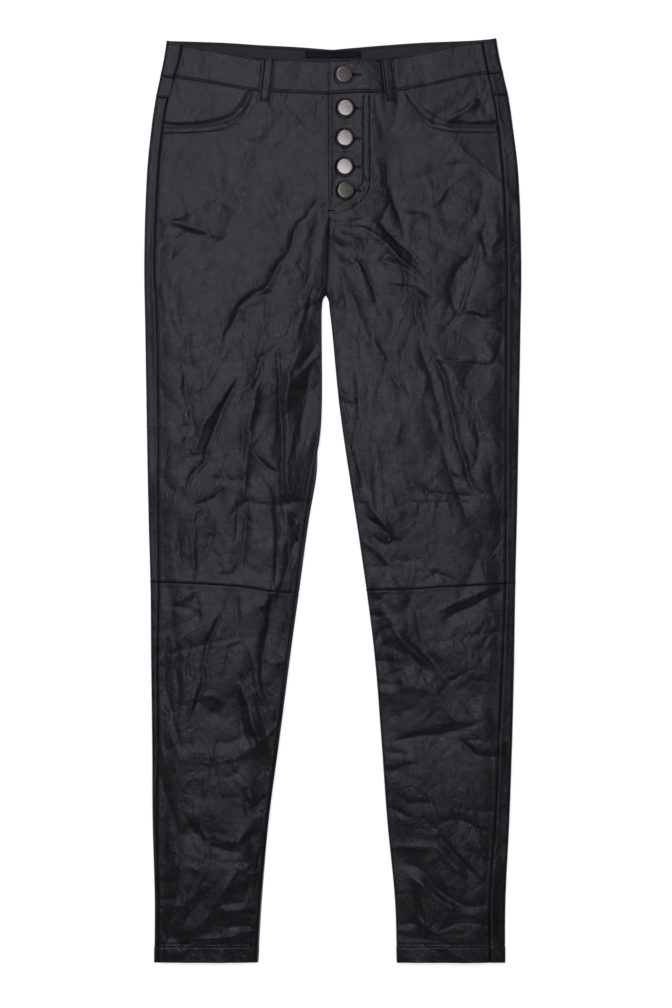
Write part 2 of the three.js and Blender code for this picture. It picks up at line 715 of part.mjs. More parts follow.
// Yokes, and the waistband in three lengths: the back one wraps round both sides to the front
const BAND_STEPS = 3;
const YOKE_STEPS = 3;
const BAND_SHARES = BACK_SHARES;
const even = (steps) => Array.from({ length: steps + 1 }, (_, i) => i / steps);

// Seam and top edge of the back waistband, which slope to the side seam where it wraps over
function backBandY(side, reach, wrap, edge) {
  const depth = edge === 'seam' ? BAND_HEIGHT : 0;
  const behind = backTopY(side, reach) - depth;
  if (wrap === 0) return behind;
  const tip = outerEdge(side, BAND_MIDDLE_Y);
  const seamReach = tip - sideSeam(side, BAND_MIDDLE_Y);
  const atSeam = edge === 'seam' ? bandSeamY(side, seamReach) : bandTopY(side, seamReach);
  return mix(backTopY(side, tip) - depth, atSeam, wrap);
}

function bandColumns(side) {
  return backColumns(side, BAND_SHARES, [SIDES[side].backInnerStops[0], 0]);
}

function addYoke(side) {
  addPanel(`${side}_yoke`, side, {
    firstY: BAND_MIDDLE_Y,
    heights: even(YOKE_STEPS),
    columns: bandColumns(side),
    thick: () => LEATHER,
    follow: (share, reach, wrap) => mix(
      (wrap > 0 ? SIDES[side].yokeSideY : yokeSeamY(side, reach)) + half,
      backBandY(side, reach, wrap, 'seam') - half,
      share,
    ),
  });
}

function addBackBand() {
  const lines = even(BAND_STEPS).map((share) => {
    const follow = (side) => (height, reach, wrap) => mix(
      backBandY(side, reach, wrap, 'seam') + half,
      backBandY(side, reach, wrap, 'top'),
      height,
    );
    const halves = ['right', 'left'].map((side) => bandColumns(side).map((column) => {
      const y = seamHeight(side, BAND_MIDDLE_Y, share, column, follow(side));
      return { side, y, distance: column(y) };
    }));
    return [...halves[0].slice(0, -1), ...halves[1].reverse()];
  });
  const points = lines.map((line) => line.map((at) => skin(at.side, at.y, at.distance, flat)));
  const normals = lines.map((line) => line.map((at) => (
    skinNormal(at.side, at.y, at.distance, flat).multiplyScalar(-SIDES[at.side].sign)
  )));
  add('back_band', wall(points, normals, () => BACK_BAND_THICK), leather);
}

// The inside of the back waistband, seen above the lower front one, with the bare label on it
const FACING_SIDE_INSET = 5;
const FACING_TOP_INSET = 0.8;
const FACING_DEPTH = BAND_HEIGHT - 2;
const FACING_ROWS = 2;
const FACING_COLUMNS = 20;

function addBandFacing() {
  const points = even(FACING_ROWS).map((share) => even(FACING_COLUMNS).map((place) => {
    const side = place < 0.5 ? 'right' : 'left';
    const halfWidth = outerEdge(side, FACING_HEIGHT) - FACING_SIDE_INSET;
    const reach = Math.abs(place - 0.5) * 2 * halfWidth;
    const top = backTopY(side, reach) - FACING_TOP_INSET;
    const y = mix(top - FACING_DEPTH, top, share);
    return new THREE.Vector3(SIDES[side].sign * reach, y, BAND_FACING_LEVEL);
  }));
  addPatch('back_band_facing', points, BAND_FACING_THICK, innerFace);
}

function addLabel() {
  const { width, height, thick } = LABEL_SIZE;
  const z = BAND_FACING_LEVEL + BAND_FACING_THICK / 2 + SEAM_GAP + thick / 2;
  const geometry = new THREE.BoxGeometry(width, height, thick);
  geometry.translate(LABEL_PLACE.x, LABEL_PLACE.y, z);
  add('label', geometry, labelCloth);
}

// A front waistband runs from the side seam to the middle. The right one carries on under the left.
const FRONT_BANDS = {
  right: { reaches: [150, 133, 118, 107, 97, 87.6, 71, 54, 37, 23, 11.6, -10, -34], raise: flat },
  left: {
    reaches: [148, 132, 118, 104, 90, 78.5, 63.5, 52, 45, 38, 33.6, 20.7, 10.5, -4.5],
    raise: overBand,
  },
};

function addFrontBand(side) {
  const { reaches, raise } = FRONT_BANDS[side];
  const both = (distance) => ({ folded: distance, open: distance });
  const inner = reaches.map((reach) => (y) => both(arcToMiddle(side, y, SIDES[side].sign * reach)));
  addPanel(`${side}_front_band`, side, {
    firstY: BAND_MIDDLE_Y,
    heights: even(BAND_STEPS),
    columns: [(y) => both(sideSeam(side, y) + half), ...inner],
    raise,
    thick: () => FRONT_BAND_THICK,
    follow: (share, reach) => mix(bandSeamY(side, reach) + half, bandTopY(side, reach), share),
  });
}

// Strip of the right front that lies under the left one and carries the buttons
const UNDERLAP_ROWS = 8;
const UNDERLAP_COLUMNS = 3;

function addFlyUnderlap() {
  const from = FLY_END_Y + UNDERLAP_INSET.bottom;
  const to = FRONT_TOP_Y - UNDERLAP_INSET.top;
  const middle = (y) => arcToMiddle('right', y, centreFrontX(y));
  const both = (distance) => ({ folded: distance, open: distance });
  addPanel('fly_underlap', 'right', {
    heights: spread([{ from, to, steps: UNDERLAP_ROWS }]),
    columns: even(UNDERLAP_COLUMNS).map((share) => (y) => both(middle(y) + mix(half, FLY_WIDTH, share))),
    thick: () => LEATHER,
    follow: (height) => height,
  });
}

// Leather behind each pocket mouth, from the waistband and side seams to just under the front
const FACING_LINES = 10;
const FACING_STEPS = 6;
const FACING_CORNER_SHARE = 0.45;

function addPocketFacing(side) {
  const { sign, pocket } = SIDES[side];
  const mouth = new THREE.CatmullRomCurve3(
    pocket.map((row) => new THREE.Vector3(row.at, row.y, 0)), false, 'centripetal',
  );
  const seamReach = (y) => outerEdge(side, y) - sideSeam(side, y) - half;
  const cornerReach = outerEdge(side, POCKET_CORNER_HEIGHT) - sideSeam(side, POCKET_CORNER_HEIGHT);
  const cornerY = bandSeamY(side, cornerReach);
  const corner = new THREE.Vector3(seamReach(cornerY), cornerY - SEAM_GAP, 0);
  const rim = (share) => {
    if (share < FACING_CORNER_SHARE) {
      const at = mix(pocket[0].at, corner.x, share / FACING_CORNER_SHARE);
      return new THREE.Vector3(at, bandSeamY(side, at) - SEAM_GAP, 0);
    }
    const down = (share - FACING_CORNER_SHARE) / (1 - FACING_CORNER_SHARE);
    const y = mix(corner.y, pocket[pocket.length - 1].y, down);
    return new THREE.Vector3(seamReach(y), y, 0);
  };
  const points = even(FACING_LINES).map((share) => {
    const edge = mouth.getPointAt(share);
    edge.y -= share === 0 ? POCKET_TOP_DROP : 0;
    const away = edge.clone().sub(corner).normalize();
    const under = edge.clone().addScaledVector(away, POCKET_UNDERLAP);
    under.x = Math.min(under.x, seamReach(under.y));
    return even(FACING_STEPS).map((step) => {
      const place = under.clone().lerp(rim(share), step);
      const past = place.distanceTo(under) - POCKET_UNDERLAP;
      const dip = POCKET_DIP * (1 - ease(POCKET_DIP_END.from, POCKET_DIP_END.to, past));
      const x = sign * place.x;
      return new THREE.Vector3(x, place.y, frontLevel(x, place.y) - dip);
    });
  });
  addPatch(`${side}_pocket_facing`, points, POCKET_FACING_THICK, leather);
}

// Belt loops: two on the front, three under the back band
const LOOP_ROWS = 8;
const LOOP_COLUMNS = 2;

function addFrontLoop(side) {
  const { topX, bottomX } = FRONT_LOOPS[side];
  const { sign } = SIDES[side];
  const top = bandTopY(side, sign * topX) - FRONT_LOOP_TOP_INSET;
  const seam = bandSeamY(side, sign * bottomX);
  const points = even(LOOP_ROWS).map((share) => even(LOOP_COLUMNS).map((place) => {
    const y = mix(seam - LOOP_BELOW_BAND, top, share);
    const x = mix(bottomX, topX, share) + (place - 0.5) * LOOP_WIDTH;
    const onBand = ease(seam - LOOP_STEP.from, seam - LOOP_STEP.to, y);
    const below = mix(LEATHER, FRONT_BAND_THICK, onBand) / 2;
    return new THREE.Vector3(x, y, FRONT_BAND_LEVEL + below + SEAM_GAP + LOOP_THICK / 2);
  }));
  addPatch(`${side}_front_loop`, points, LOOP_THICK, leather);
}

function addBackLoops() {
  for (const [place, x] of Object.entries(BACK_LOOPS)) {
    const side = x < 0 ? 'right' : 'left';
    const top = backTopY(side, Math.abs(x)) - BACK_LOOP_TOP_INSET;
    const bottom = top - BAND_HEIGHT - LOOP_BELOW_BAND + BACK_LOOP_TOP_INSET;
    const geometry = new THREE.BoxGeometry(LOOP_WIDTH, top - bottom, LOOP_THICK);
    geometry.translate(x, (top + bottom) / 2, LOOP_THICK / 2);
    add(`${place}_back_loop`, geometry, leather);
  }
}

// Shank buttons, each standing on the leather round its buttonhole
function addButtons() {
  BUTTONS.forEach(({ x, y }, i) => {
    const profile = BUTTON_PROFILE.map((row) => new THREE.Vector2(row.radius, row.height));
    const turned = new THREE.LatheGeometry(profile, BUTTON_SEGMENTS);
    turned.deleteAttribute('normal');
    turned.deleteAttribute('uv');
    const geometry = mergeVertices(turned);
    geometry.rotateX(Math.PI / 2);
    geometry.computeVertexNormals();
    const onBand = y > bandSeamY('left', x);
    const lift = onBand ? overBand(x) + FRONT_BAND_THICK / 2 : overFly(x, y) + LEATHER / 2;
    geometry.translate(x, y, frontLevel(x, y) + lift + SEAM_GAP);
    add(`button_${i + 1}`, geometry, steel);
  });
}

for (const side of ['right', 'left']) {
  addLeg(side);
  addYoke(side);
  addPocketFacing(side);
  addFrontBand(side);
  addFrontLoop(side);
}
addBackBand();
addBandFacing();
addLabel();
addFlyUnderlap();
addBackLoops();
addButtons();

// Origin at the middle of the underside
const box = new THREE.Box3().setFromObject(trousers);
const centre = box.getCenter(new THREE.Vector3());
trousers.position.set(-centre.x, -centre.y, -box.min.z);

export default trousers;
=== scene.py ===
# Black leather trousers laid flat on their back with the button fly fastened.
# Tables are in millimetres and meshes in metres. The wearer's left is at +X, the waist at +Y.
import math

import bpy
import numpy as np
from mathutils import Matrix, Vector


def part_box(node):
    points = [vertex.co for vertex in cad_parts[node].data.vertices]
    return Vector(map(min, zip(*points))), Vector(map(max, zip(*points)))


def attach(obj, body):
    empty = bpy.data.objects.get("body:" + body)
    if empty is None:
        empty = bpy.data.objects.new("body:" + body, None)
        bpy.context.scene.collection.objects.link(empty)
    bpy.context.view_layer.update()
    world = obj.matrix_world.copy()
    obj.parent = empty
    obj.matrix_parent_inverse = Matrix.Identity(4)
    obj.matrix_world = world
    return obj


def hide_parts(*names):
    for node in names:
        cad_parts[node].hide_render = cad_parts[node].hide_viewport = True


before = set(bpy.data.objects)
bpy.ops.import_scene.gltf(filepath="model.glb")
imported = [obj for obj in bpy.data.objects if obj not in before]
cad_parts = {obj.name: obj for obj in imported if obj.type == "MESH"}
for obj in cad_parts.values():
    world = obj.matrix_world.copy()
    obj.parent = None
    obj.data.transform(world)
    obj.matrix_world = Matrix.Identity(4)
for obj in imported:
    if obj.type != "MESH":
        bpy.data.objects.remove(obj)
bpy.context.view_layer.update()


# Backs of the legs: thigh, calf and yoke of bonded leather 1.1 mm thick. Each is sewn to the front
# at a side seam that lies on the front, so it wraps round the outer fold of the flattened leg.
# Broad creases lift it a little from the floor, and the hem is turned up twice and stitched.
MM = 0.001
LEATHER = 1.1
HEM_LEATHER = 1.8
HEM_Y = -504.5
HEM_DEPTH = 17
HEM_ROWS = np.array([13, 15.4, 16, 16.5, 17, 17.5, 18])
HEM_STITCHES_Y = (-484.3, -487.6)
THIGH_STRAIGHT_Y = (-60, 350)
CALF_STRAIGHT_Y = -130
SEAM_GAP = 0.05
EDGE_RADIUS = 2.2
EDGE_ARC = 3.06
BAND_HEIGHT = 38
BACK_LEVEL = 0.55
BACK_BAND_LEVEL = 2.2
FRONT_LEVEL = 3.7
FRONT_BAND_LEVEL = 6.2
CROTCH_X = -7.5
CROTCH_Y = 222
CENTRE_FRONT_X = -3.5
FLY_END_Y = 314
KNEE_Y = -95
FRONT_TOP_Y = 443
BAND_Y = 480
YOKE_SIDE_Y = {"right": 439, "left": 442}
YOKE_BACK_Y = 395
YOKE_EDGE_Y = 440
PUFF = 3.4
ROOM = 1.45
SIGN = {"right": -1, "left": 1}


def table(columns, *rows):
    return {name: np.array(values, float) for name, values in zip(columns.split(), zip(*rows))}


OUTER = {
    "right": table(
        "y at seam", (504.5, 180.5, 18), (480, 184.4, 17.5), (440, 192.8, 14), (410, 197.6, 13),
        (355, 203, 13), (262, 205.9, 11.8), (185, 204.8, 13.6), (66, 202.8, 13), (-22, 201.1, 11),
        (-98, 199, 9.8), (-174, 198.4, 7.5), (-261, 197.3, 7.4), (-348, 196.7, 5), (-436, 194.2, 4),
        (-504.5, 194.6, 4)),
    "left": table(
        "y at seam", (504.5, 178, 16), (480, 182.4, 16), (440, 191.7, 17), (410, 196.3, 16.5),
        (355, 202.8, 17), (262, 205.9, 16), (185, 205, 15.5), (66, 202.8, 14), (-22, 201.1, 12.6),
        (-98, 199.3, 11.4), (-174, 198.1, 13), (-261, 196, 15), (-348, 192.9, 15.5),
        (-436, 188.7, 17.5), (-504.5, 188.1, 17)),
}
INNER = {
    "right": table(
        "y at inseam", (222, 10.4, 1.5), (207, 11.6, 1.5), (185, 11.7, 1.5), (109, 11.3, 1.5),
        (66, 13.1, 2.5), (22, 18.4, 6), (-22, 26.1, 6), (-98, 36.4, 5.5), (-174, 46.7, 5),
        (-261, 57.5, 5), (-348, 68.4, 5), (-436, 76.9, 5), (-504.5, 81.2, 5)),
    "left": table(
        "y at inseam", (222, -4.6, -1.2), (207, -3.3, -1.2), (185, -0.7, -1.2), (109, 6.6, -1.2),
        (66, 12.3, -1.2), (22, 18.9, -1.2), (-22, 25.8, -1.2), (-98, 36.9, -1.2),
        (-174, 46.1, -1.2), (-261, 53.1, -1.2), (-348, 59.4, -1.2), (-436, 67.9, -1.2),
        (-504.5, 70, -1.2)),
}
KNEE = {
    "right": table("at y", (36, -100.4), (68, -98.9), (96, -94.3), (150, -90.5), (200, -89)),
    "left": table("at y", (36, -98), (88, -96.4), (132, -93.5), (185, -90.6), (200, -90.2)),
}
BACK_TOP = {
    "right": table("at y", (0, 491.6), (40, 494.7), (80, 496.8), (120, 499.4), (180, 501.3)),
    "left": table(
        "at y", (0, 491.6), (14, 493), (56, 496.5), (97, 499.4), (153, 501.7), (178, 503.9)),
}
BAND_TOP = {
    "right": table(
        "at y", (-40, 479.5), (3.5, 480.2), (34, 481), (80, 481.8), (93.5, 484.8), (120, 489.5),
        (146, 493.4), (163, 496.4)),
    "left": table(
        "at y", (-5, 480.6), (28, 479.2), (48.7, 479.9), (69.5, 483.5), (97, 488.4), (125, 494.6),
        (160, 500)),
}
BAND_SEAM = {
    "right": table(
        "at y", (-40, 445.4), (-15, 444.2), (5, 442.7), (34, 443.9), (67, 445.2), (87, 446.5),
        (107, 449.8), (133, 454.5), (171, 460.4)),
    "left": table(
        "at y", (-5, 442.6), (28, 444.4), (56, 444.6), (76.5, 447.2), (104, 451.4), (139, 460),
        (166, 464.6)),
}

# Creases of the fronts: half width, height (negative in a trough), then x and y of each place that
# it runs through
FRONT_CREASES = (
    (5, -2.6, -18, 325, -28, 310, -38, 300, -48, 270, -60, 255, -72, 230, -97, 215, -105, 200,
     -120, 175),
    (12, -1.8, -15, 360, -18, 300, -25, 250, -30, 200, -35, 180),
    (4, 1.8, -22, 240, -27, 225, -32, 205, -38, 180),
    (4, -1.4, -25, 225, -28, 200),
    (4.5, 1.7, -185, 303, -165, 301, -150, 296, -118, 287),
    (4, -1.3, -172, 297, -155, 291),
    (3.5, -1.0, -178, 304, -160, 311),
    (3, -1.0, -150, 317, -135, 323, -122, 326, -110, 322, -97, 317),
    (3.5, -1.0, -183, 277, -163, 288),
    (3.5, -0.8, -180, 258, -162, 273),
    (3, -0.7, -145, 288, -135, 291),
    (3, -0.8, -118, 291, -103, 292),
    (4, 0.9, -107, 391, -85, 396, -60, 399),
    (7, -1.3, -95, 430, -80, 415, -65, 405),
    (4, -0.9, -75, 372, -62, 385),
    (9, -1.1, -60, 345, -45, 340, -30, 335),
    (4, -1.0, -85, 298, -60, 300, -40, 295),
    (3, -0.7, -60, 308, -40, 310),
    (3, 1.6, -92, 217, -82, 222, -68, 224),
    (3.5, -1.4, -90, 223, -70, 233),
    (3, -1.2, -90, 214, -80, 216),
    (3, -0.9, -45, 247, -38, 240),
    (2.5, -0.6, -100, 265, -95, 280, -85, 292),
    (3.5, -0.9, -162, 240, -165, 210, -162, 190, -167, 175),
    (3, 0.8, -72, 215, -73, 195, -78, 178),
    (3, -0.8, -135, 203, -128, 210),
    (5, 0.9, -187, 235, -185, 220, -182, 210),
    (4, -0.9, -178, 205, -170, 175),
    (2.5, -1.1, -157, 398, -148, 396, -138, 392),
    (4, 0.9, -190, 315, -182, 300),
    (7, -4.2, -4, 300, -6, 270, -7.5, 240, -7.5, 214),
    (3.5, -2.8, -60, 170, -58, 130, -57, 100, -56, 60, -55, 30, -55, 0, -52, -20),
    (4.5, 2.0, -35, 165, -40, 150, -48, 140, -47, 125, -50, 110, -52, 65, -50, 25, -47, 10, -33, 0),
    (8, -1.8, -25, 140, -30, 110, -35, 80, -40, 55),
    (4, -1.6, -20, 165, -30, 150),
    (6, 2.2, -83, 140, -86, 110, -90, 85, -92, 60, -95, 35, -98, 0),
    (4, -1.5, -98, 80, -98, 55, -95, 40),
    (5, -1.6, -93, -5, -95, -30, -97, -60, -100, -75),
    (3, -0.8, -101, 0, -105, -40),
    (4.5, -2.0, -65, 165, -78, 155, -83, 140, -90, 125, -100, 115, -103, 105),
    (4.5, -2.1, -103, 130, -120, 100, -128, 80, -137, 55, -140, 42, -150, 32, -156, 22, -158, 10),
    (4.5, 1.7, -110, 128, -128, 100, -141, 80, -152, 50),
    (4, -1.3, -165, 165, -163, 145, -160, 120, -155, 95, -150, 80, -152, 72, -160, 66),
    (3, -0.9, -165, 80, -153, 80),
    (3.5, 1.0, -168, 55, -166, 65, -160, 70),
    (4, -1.0, -190, 130, -182, 112),
    (3, -0.8, -178, 95, -170, 85),
    (4, -1.0, -180, 60, -182, 40, -187, 25),
    (2.2, -0.7, -140, 24, -120, 23, -85, 20),
    (3.5, -1.5, -92, 58, -78, 42, -60, 28),
    (3, -2.0, -78, 30, -65, 8, -62, -10, -60, -30, -63, -90),
    (8, -1.8, -55, 0, -40, -22),
    (7, -1.2, -50, -15, -35, -28),
    (3, -0.9, -48, -50, -50, -80),
    (4, -1.6, -123, 10, -130, 2, -152, -6),
    (4, 1.3, -153, -8, -140, -11),
    (3, -1.0, -165, 10, -155, -8),
    (4, 1.1, -150, -15, -153, -40, -151, -80),
    (4.5, -1.3, -168, -20, -168, -80),
    (3, -0.8, -120, -82, -108, -80, -104, -72),
    (5, -2.2, 46, 440, 48, 420, 55, 400, 60, 380, 62, 350, 67, 325, 73, 305, 78, 288),
    (3, -1.0, 0, 378, 35, 378, 60, 376, 85, 378, 100, 380),
    (3.5, -1.1, 75, 391, 92, 390, 117, 395),
    (3.5, -1.0, 110, 365, 145, 368, 155, 365),
    (8, -1.2, 150, 352, 180, 350),
    (2.5, 0.9, 143, 355, 130, 345, 118, 330, 105, 320),
    (3, -1.4, 80, 318, 97, 316),
    (3, 1.2, 80, 311, 98, 310),
    (3.5, -1.2, 60, 320, 50, 300),
    (3, -0.9, 15, 305, 40, 303),
    (3, -1.2, 0, 302, 20, 301, 37, 297),
    (4, 2.2, 28, 298, 52, 284, 75, 262, 88, 252, 97, 241),
    (4, -1.9, 45, 306, 63, 290, 80, 273, 95, 258),
    (3.5, -1.2, 10, 292, 25, 285, 30, 275),
    (4.5, -1.9, 5, 280, 25, 265, 35, 250, 45, 230, 52, 205),
    (3.5, 1.2, 15, 272, 28, 264),
    (8, -1.9, 2, 270, 10, 250, 15, 220, 18, 190, 17, 175),
    (4, -1.3, 22, 225, 30, 200, 38, 180),
    (4, -1.4, 55, 260, 75, 255, 85, 248),
    (4.5, -1.8, 65, 235, 92, 228, 97, 215, 100, 200, 105, 180),
    (4.5, -1.6, 148, 265, 140, 255, 132, 240, 128, 225, 132, 212),
    (5, -1.8, 160, 280, 152, 250, 145, 225, 137, 205, 118, 180),
    (4, -1.4, 168, 300, 163, 290, 168, 270, 166, 263),
    (5, 1.3, 185, 290, 170, 275),
    (3.5, 1.5, 142, 207, 155, 206, 163, 203, 172, 206),
    (3, -1.2, 153, 202, 165, 200),
    (3.5, -1.0, 190, 335, 200, 337),
    (3.5, -1.0, 190, 258, 200, 262),
    (4, -2.2, 20, 165, 25, 140, 28, 115, 29, 95, 25, 75, 22, 60),
    (2.5, 1.2, 10, 118, 18, 110, 25, 107),
    (2.5, -1.0, 12, 106, 20, 105),
    (3.5, -1.2, 33, 172, 40, 160),
    (4, -1.5, 52, 172, 60, 155, 70, 140),
    (4, -1.5, 52, 155, 62, 140, 72, 125, 83, 110),
    (4, -1.5, 32, 48, 37, 30, 42, 10, 45, -10),
    (4, 1.3, 20, 55, 25, 30, 30, 10),
    (6, -1.1, 48, 60, 50, 40, 55, 0),
    (2.5, -1.0, 28, -2, 38, -5),
    (3, 1.7, 42, -8, 50, -18, 57, -28, 65, -38),
    (3, -1.3, 40, -20, 55, -32),
    (3.5, -1.4, 48, -42, 60, -48, 68, -44, 78, -50),
    (8, -1.1, 65, -67, 90, -65),
    (7, -1.1, 40, -75, 65, -77),
    (7, 1.1, 68, 110, 72, 80, 66, 50),
    (6, 1.0, 98, 110, 100, 130),
    (4.5, -2.3, 105, 170, 110, 155, 118, 140, 125, 115, 131, 90, 137, 65, 143, 45, 150, 22, 160, 8,
     168, 4),
    (3, -1.1, 115, 157, 145, 156),
    (3, -1.2, 120, 148, 150, 149, 170, 147, 177, 155, 182, 170),
    (3.5, -1.3, 90, 20, 100, 13, 110, 6, 165, 3),
    (2.2, -0.8, 60, -10, 95, -3, 185, -3),
    (3.5, -1.1, 93, -10, 92, -30),
    (2.2, -0.7, 120, 35, 140, 20),
    (3, -1.0, 88, 40, 98, 38),
    (3.5, -1.0, 98, -87, 112, -80),
    (5, -1.6, -170, -97, -175, -110, -177, -130, -182, -155, -184, -180, -182, -205, -172, -245,
     -163, -290),
    (4, -1.9, -171, -150, -169, -195, -169, -235),
    (3, -1.1, -158, -157, -156, -165, -158, -178, -157, -190),
    (5, 1.2, -167, -110, -150, -100),
    (4, -1.1, -172, -117, -158, -119),
    (4, -1.2, -150, -100, -145, -130),
    (8, 1.6, -125, -122, -135, -140, -142, -160),
    (4.5, -1.7, -118, -120, -128, -140, -140, -170, -142, -200, -153, -235),
    (4, 1.2, -145, -195, -152, -215, -158, -235),
    (3.5, -1.0, -105, -100, -104, -145),
    (3, -0.9, -116, -145, -108, -150),
    (3, -0.9, -112, -160, -100, -156),
    (3, -0.9, -113, -165, -118, -192),
    (3, -0.9, -95, -165, -89, -200),
    (5, -2.6, -67, -96, -68, -120, -72, -150, -77, -180, -77, -200, -68, -222),
    (3, -1.3, -100, -194, -90, -203),
    (4, 1.9, -100, -200, -95, -215, -90, -235, -85, -250, -70, -280),
    (5, -1.9, -104, -208, -101, -230, -98, -250, -90, -268),
    (2.5, -1.1, -88, -205, -82, -220, -70, -270),
    (4, 1.3, -140, -213, -130, -213, -120, -220),
    (9, -1.3, -138, -226, -118, -240),
    (3, -1.2, -187, -213, -182, -222),
    (3, 1.0, -186, -220, -183, -230),
    (2.2, 0.7, -128, -255, -136, -290),
    (3, 0.9, -175, -260, -165, -285),
    (3, 0.8, -187, -265, -185, -290),
    (3, -1.2, -177, -330, -181, -350, -185, -400),
    (4, 1.5, -92, -313, -87, -330),
    (3.5, -1.2, -97, -318, -93, -340),
    (3.5, -1.2, -82, -332, -76, -325),
    (2.2, 0.7, -138, -300, -139, -325),
    (2.2, 0.7, -133, -330, -130, -370),
    (2.2, 0.7, -150, -330, -152, -350),
    (2.4, -0.9, -160, -345, -150, -362),
    (2.4, 0.9, -155, -350, -145, -368),
    (2.4, -0.9, -150, -356, -140, -378),
    (2.4, 0.9, -143, -360, -134, -384),
    (2.4, -0.9, -138, -372, -131, -390),
    (6, 1.5, -112, -372, -97, -376),
    (4, -2.2, -128, -378, -115, -382, -108, -384, -103, -380, -85, -365),
    (8, -1.3, -88, -370, -82, -400),
    (6, 1.2, -155, -400, -145, -404),
    (5, 1.3, -158, -375, -165, -395, -172, -435, -182, -480),
    (4, 1.2, -157, -415, -165, -455),
    (11, -2.1, -120, -410, -150, -445, -178, -475),
    (7, 2.3, -108, -408, -125, -435, -138, -455, -160, -478),
    (3.5, 1.4, -100, -402, -83, -412),
    (3.5, 1.2, -95, -400, -82, -393),
    (4, -1.4, -120, -440, -100, -440),
    (4, 1.1, -115, -448, -90, -446),
    (4, -1.3, -115, -465, -90, -465),
    (4, 1.0, -90, -470, -110, -477, -160, -480),
    (3, 1.0, -168, -497, -160, -490),
    (3.5, -1.0, -180, -480, -175, -460),
    (4.5, -2.2, 183, -99, 165, -108, 130, -125, 123, -129),
    (4, 1.3, 175, -96, 150, -104, 120, -119),
    (4, -1.3, 60, -100, 48, -110),
    (9, -1.2, 60, -120, 85, -130),
    (4, -1.4, 46, -155, 55, -142, 68, -138),
    (4, 2.2, 67, -141, 78, -155, 90, -166, 105, -180),
    (4, -1.4, 80, -147, 92, -158, 104, -172),
    (7, -1.8, 80, -165, 92, -178, 102, -190),
    (3, -1.0, 52, -175, 62, -175),
    (4, -1.0, 62, -190, 78, -183),
    (4, -1.1, 50, -202, 70, -200),
    (2.4, -0.8, 118, -208, 130, -197, 150, -185),
    (4, -1.2, 62, -240, 80, -230),
    (5.5, -2.4, 70, -263, 88, -258, 115, -257, 130, -252, 157, -244),
    (8, -1.0, 142, -232, 158, -232),
    (4, -1.8, 135, -260, 145, -267, 153, -275, 160, -279, 178, -280),
    (3, -1.2, 148, -262, 160, -262),
    (4, -1.2, 63, -297, 75, -290, 90, -287),
    (3, -1.0, 172, -235, 176, -245),
    (3, -0.9, 155, -196, 163, -197),
    (3.5, -0.9, 60, -275, 80, -277),
    (6, -1.0, 80, -330, 105, -330),
    (5, -1.0, 62, -335, 85, -345),
    (4, -1.5, 120, -350, 132, -347, 145, -350, 165, -362),
    (3.5, -1.0, 100, -348, 110, -357),
    (4, -1.8, 118, -367, 128, -380, 140, -395, 150, -405, 168, -420),
    (5, 1.3, 112, -374, 124, -390, 140, -408),
    (9, -1.2, 150, -385, 170, -395),
    (7, -2.4, 78, -397, 95, -403, 105, -415, 115, -425, 130, -437, 145, -442, 162, -442),
    (5, 1.6, 88, -414, 100, -420, 122, -440, 135, -446),
    (4, -1.4, 75, -463, 90, -460),
    (5, -1.3, 70, -475, 120, -480),
    (3.5, 1.2, 97, -460, 112, -472, 125, -480),
    (4, -1.4, 120, -467, 140, -460, 170, -463),
    (7, 0.9, 62, -378, 110, -378),
    (3, 1.0, 125, -488, 135, -495),
    (6, -4.2, 156, 446, 145, 440, 135, 430, 115, 420, 112, 415),
    (4.5, 3.6, 158, 436, 150, 430, 127, 414),
    (5, -3.0, 150, 446, 162, 436, 166, 424),
    (17, -2.6, 4, 282, 12, 245, 20, 205, 27, 160, 33, 110, 38, 60, 42, 20),
    (13, -1.6, -12, 330, -14, 290, -16, 250, -18, 215),
    (8, -1.7, 152, 275, 143, 250, 132, 225, 122, 200),
    (7, -1.5, 92, 190, 99, 160, 108, 130, 118, 95, 124, 60),
    (6, -1.3, -120, 410, -95, 392, -75, 384),
    (7, -1.4, 30, 375, 60, 384, 95, 388, 130, 384),
    (7, -1.4, 45, 352, 80, 350, 120, 358, 150, 352),
    (8, -1.5, -160, 372, -130, 356, -100, 350, -70, 352),
    (6, -1.2, -140, 338, -110, 342, -80, 336),
)

# Creases of the backs, which rise from the floor, in the same form
BACK_CREASES = (
    (9, 1.2, -30, 330, -80, 300, -130, 285),
    (7, 1.1, -25, 290, -70, 255, -110, 215, -125, 170),
    (6, 1.0, -150, 330, -165, 270, -160, 210),
    (8, 1.2, -60, 180, -75, 130, -95, 70),
    (6, 1.0, -160, 150, -140, 90, -130, 40),
    (5, 1.1, -50, 10, -90, -10, -140, -5),
    (5, 0.9, -60, -40, -110, -55, -160, -45),
    (7, 1.1, -75, -120, -100, -170, -110, -230),
    (6, 1.0, -165, -140, -150, -200, -155, -260),
    (6, 1.0, -95, -290, -120, -340, -125, -400),
    (5, 1.1, -100, -420, -140, -445, -170, -440),
    (9, 1.2, 25, 335, 75, 305, 125, 280),
    (7, 1.1, 20, 285, 65, 245, 95, 205, 110, 160),
    (6, 1.0, 155, 330, 168, 265, 158, 205),
    (8, 1.2, 50, 170, 70, 120, 85, 60),
    (6, 1.0, 165, 140, 150, 80, 140, 30),
    (5, 1.1, 45, 5, 90, -15, 145, -10),
    (5, 0.9, 60, -50, 105, -60, 160, -50),
    (7, 1.1, 70, -125, 95, -175, 100, -235),
    (6, 1.0, 160, -145, 150, -205, 158, -265),
    (6, 1.0, 90, -300, 115, -350, 120, -405),
    (5, 1.1, 85, -425, 125, -450, 160, -440),
)


def mix(start, end, share):
    return start + (end - start) * share


def ease(start, end, value):
    share = np.clip((value - start) / (end - start), 0, 1)
    return share * share * (3 - 2 * share)


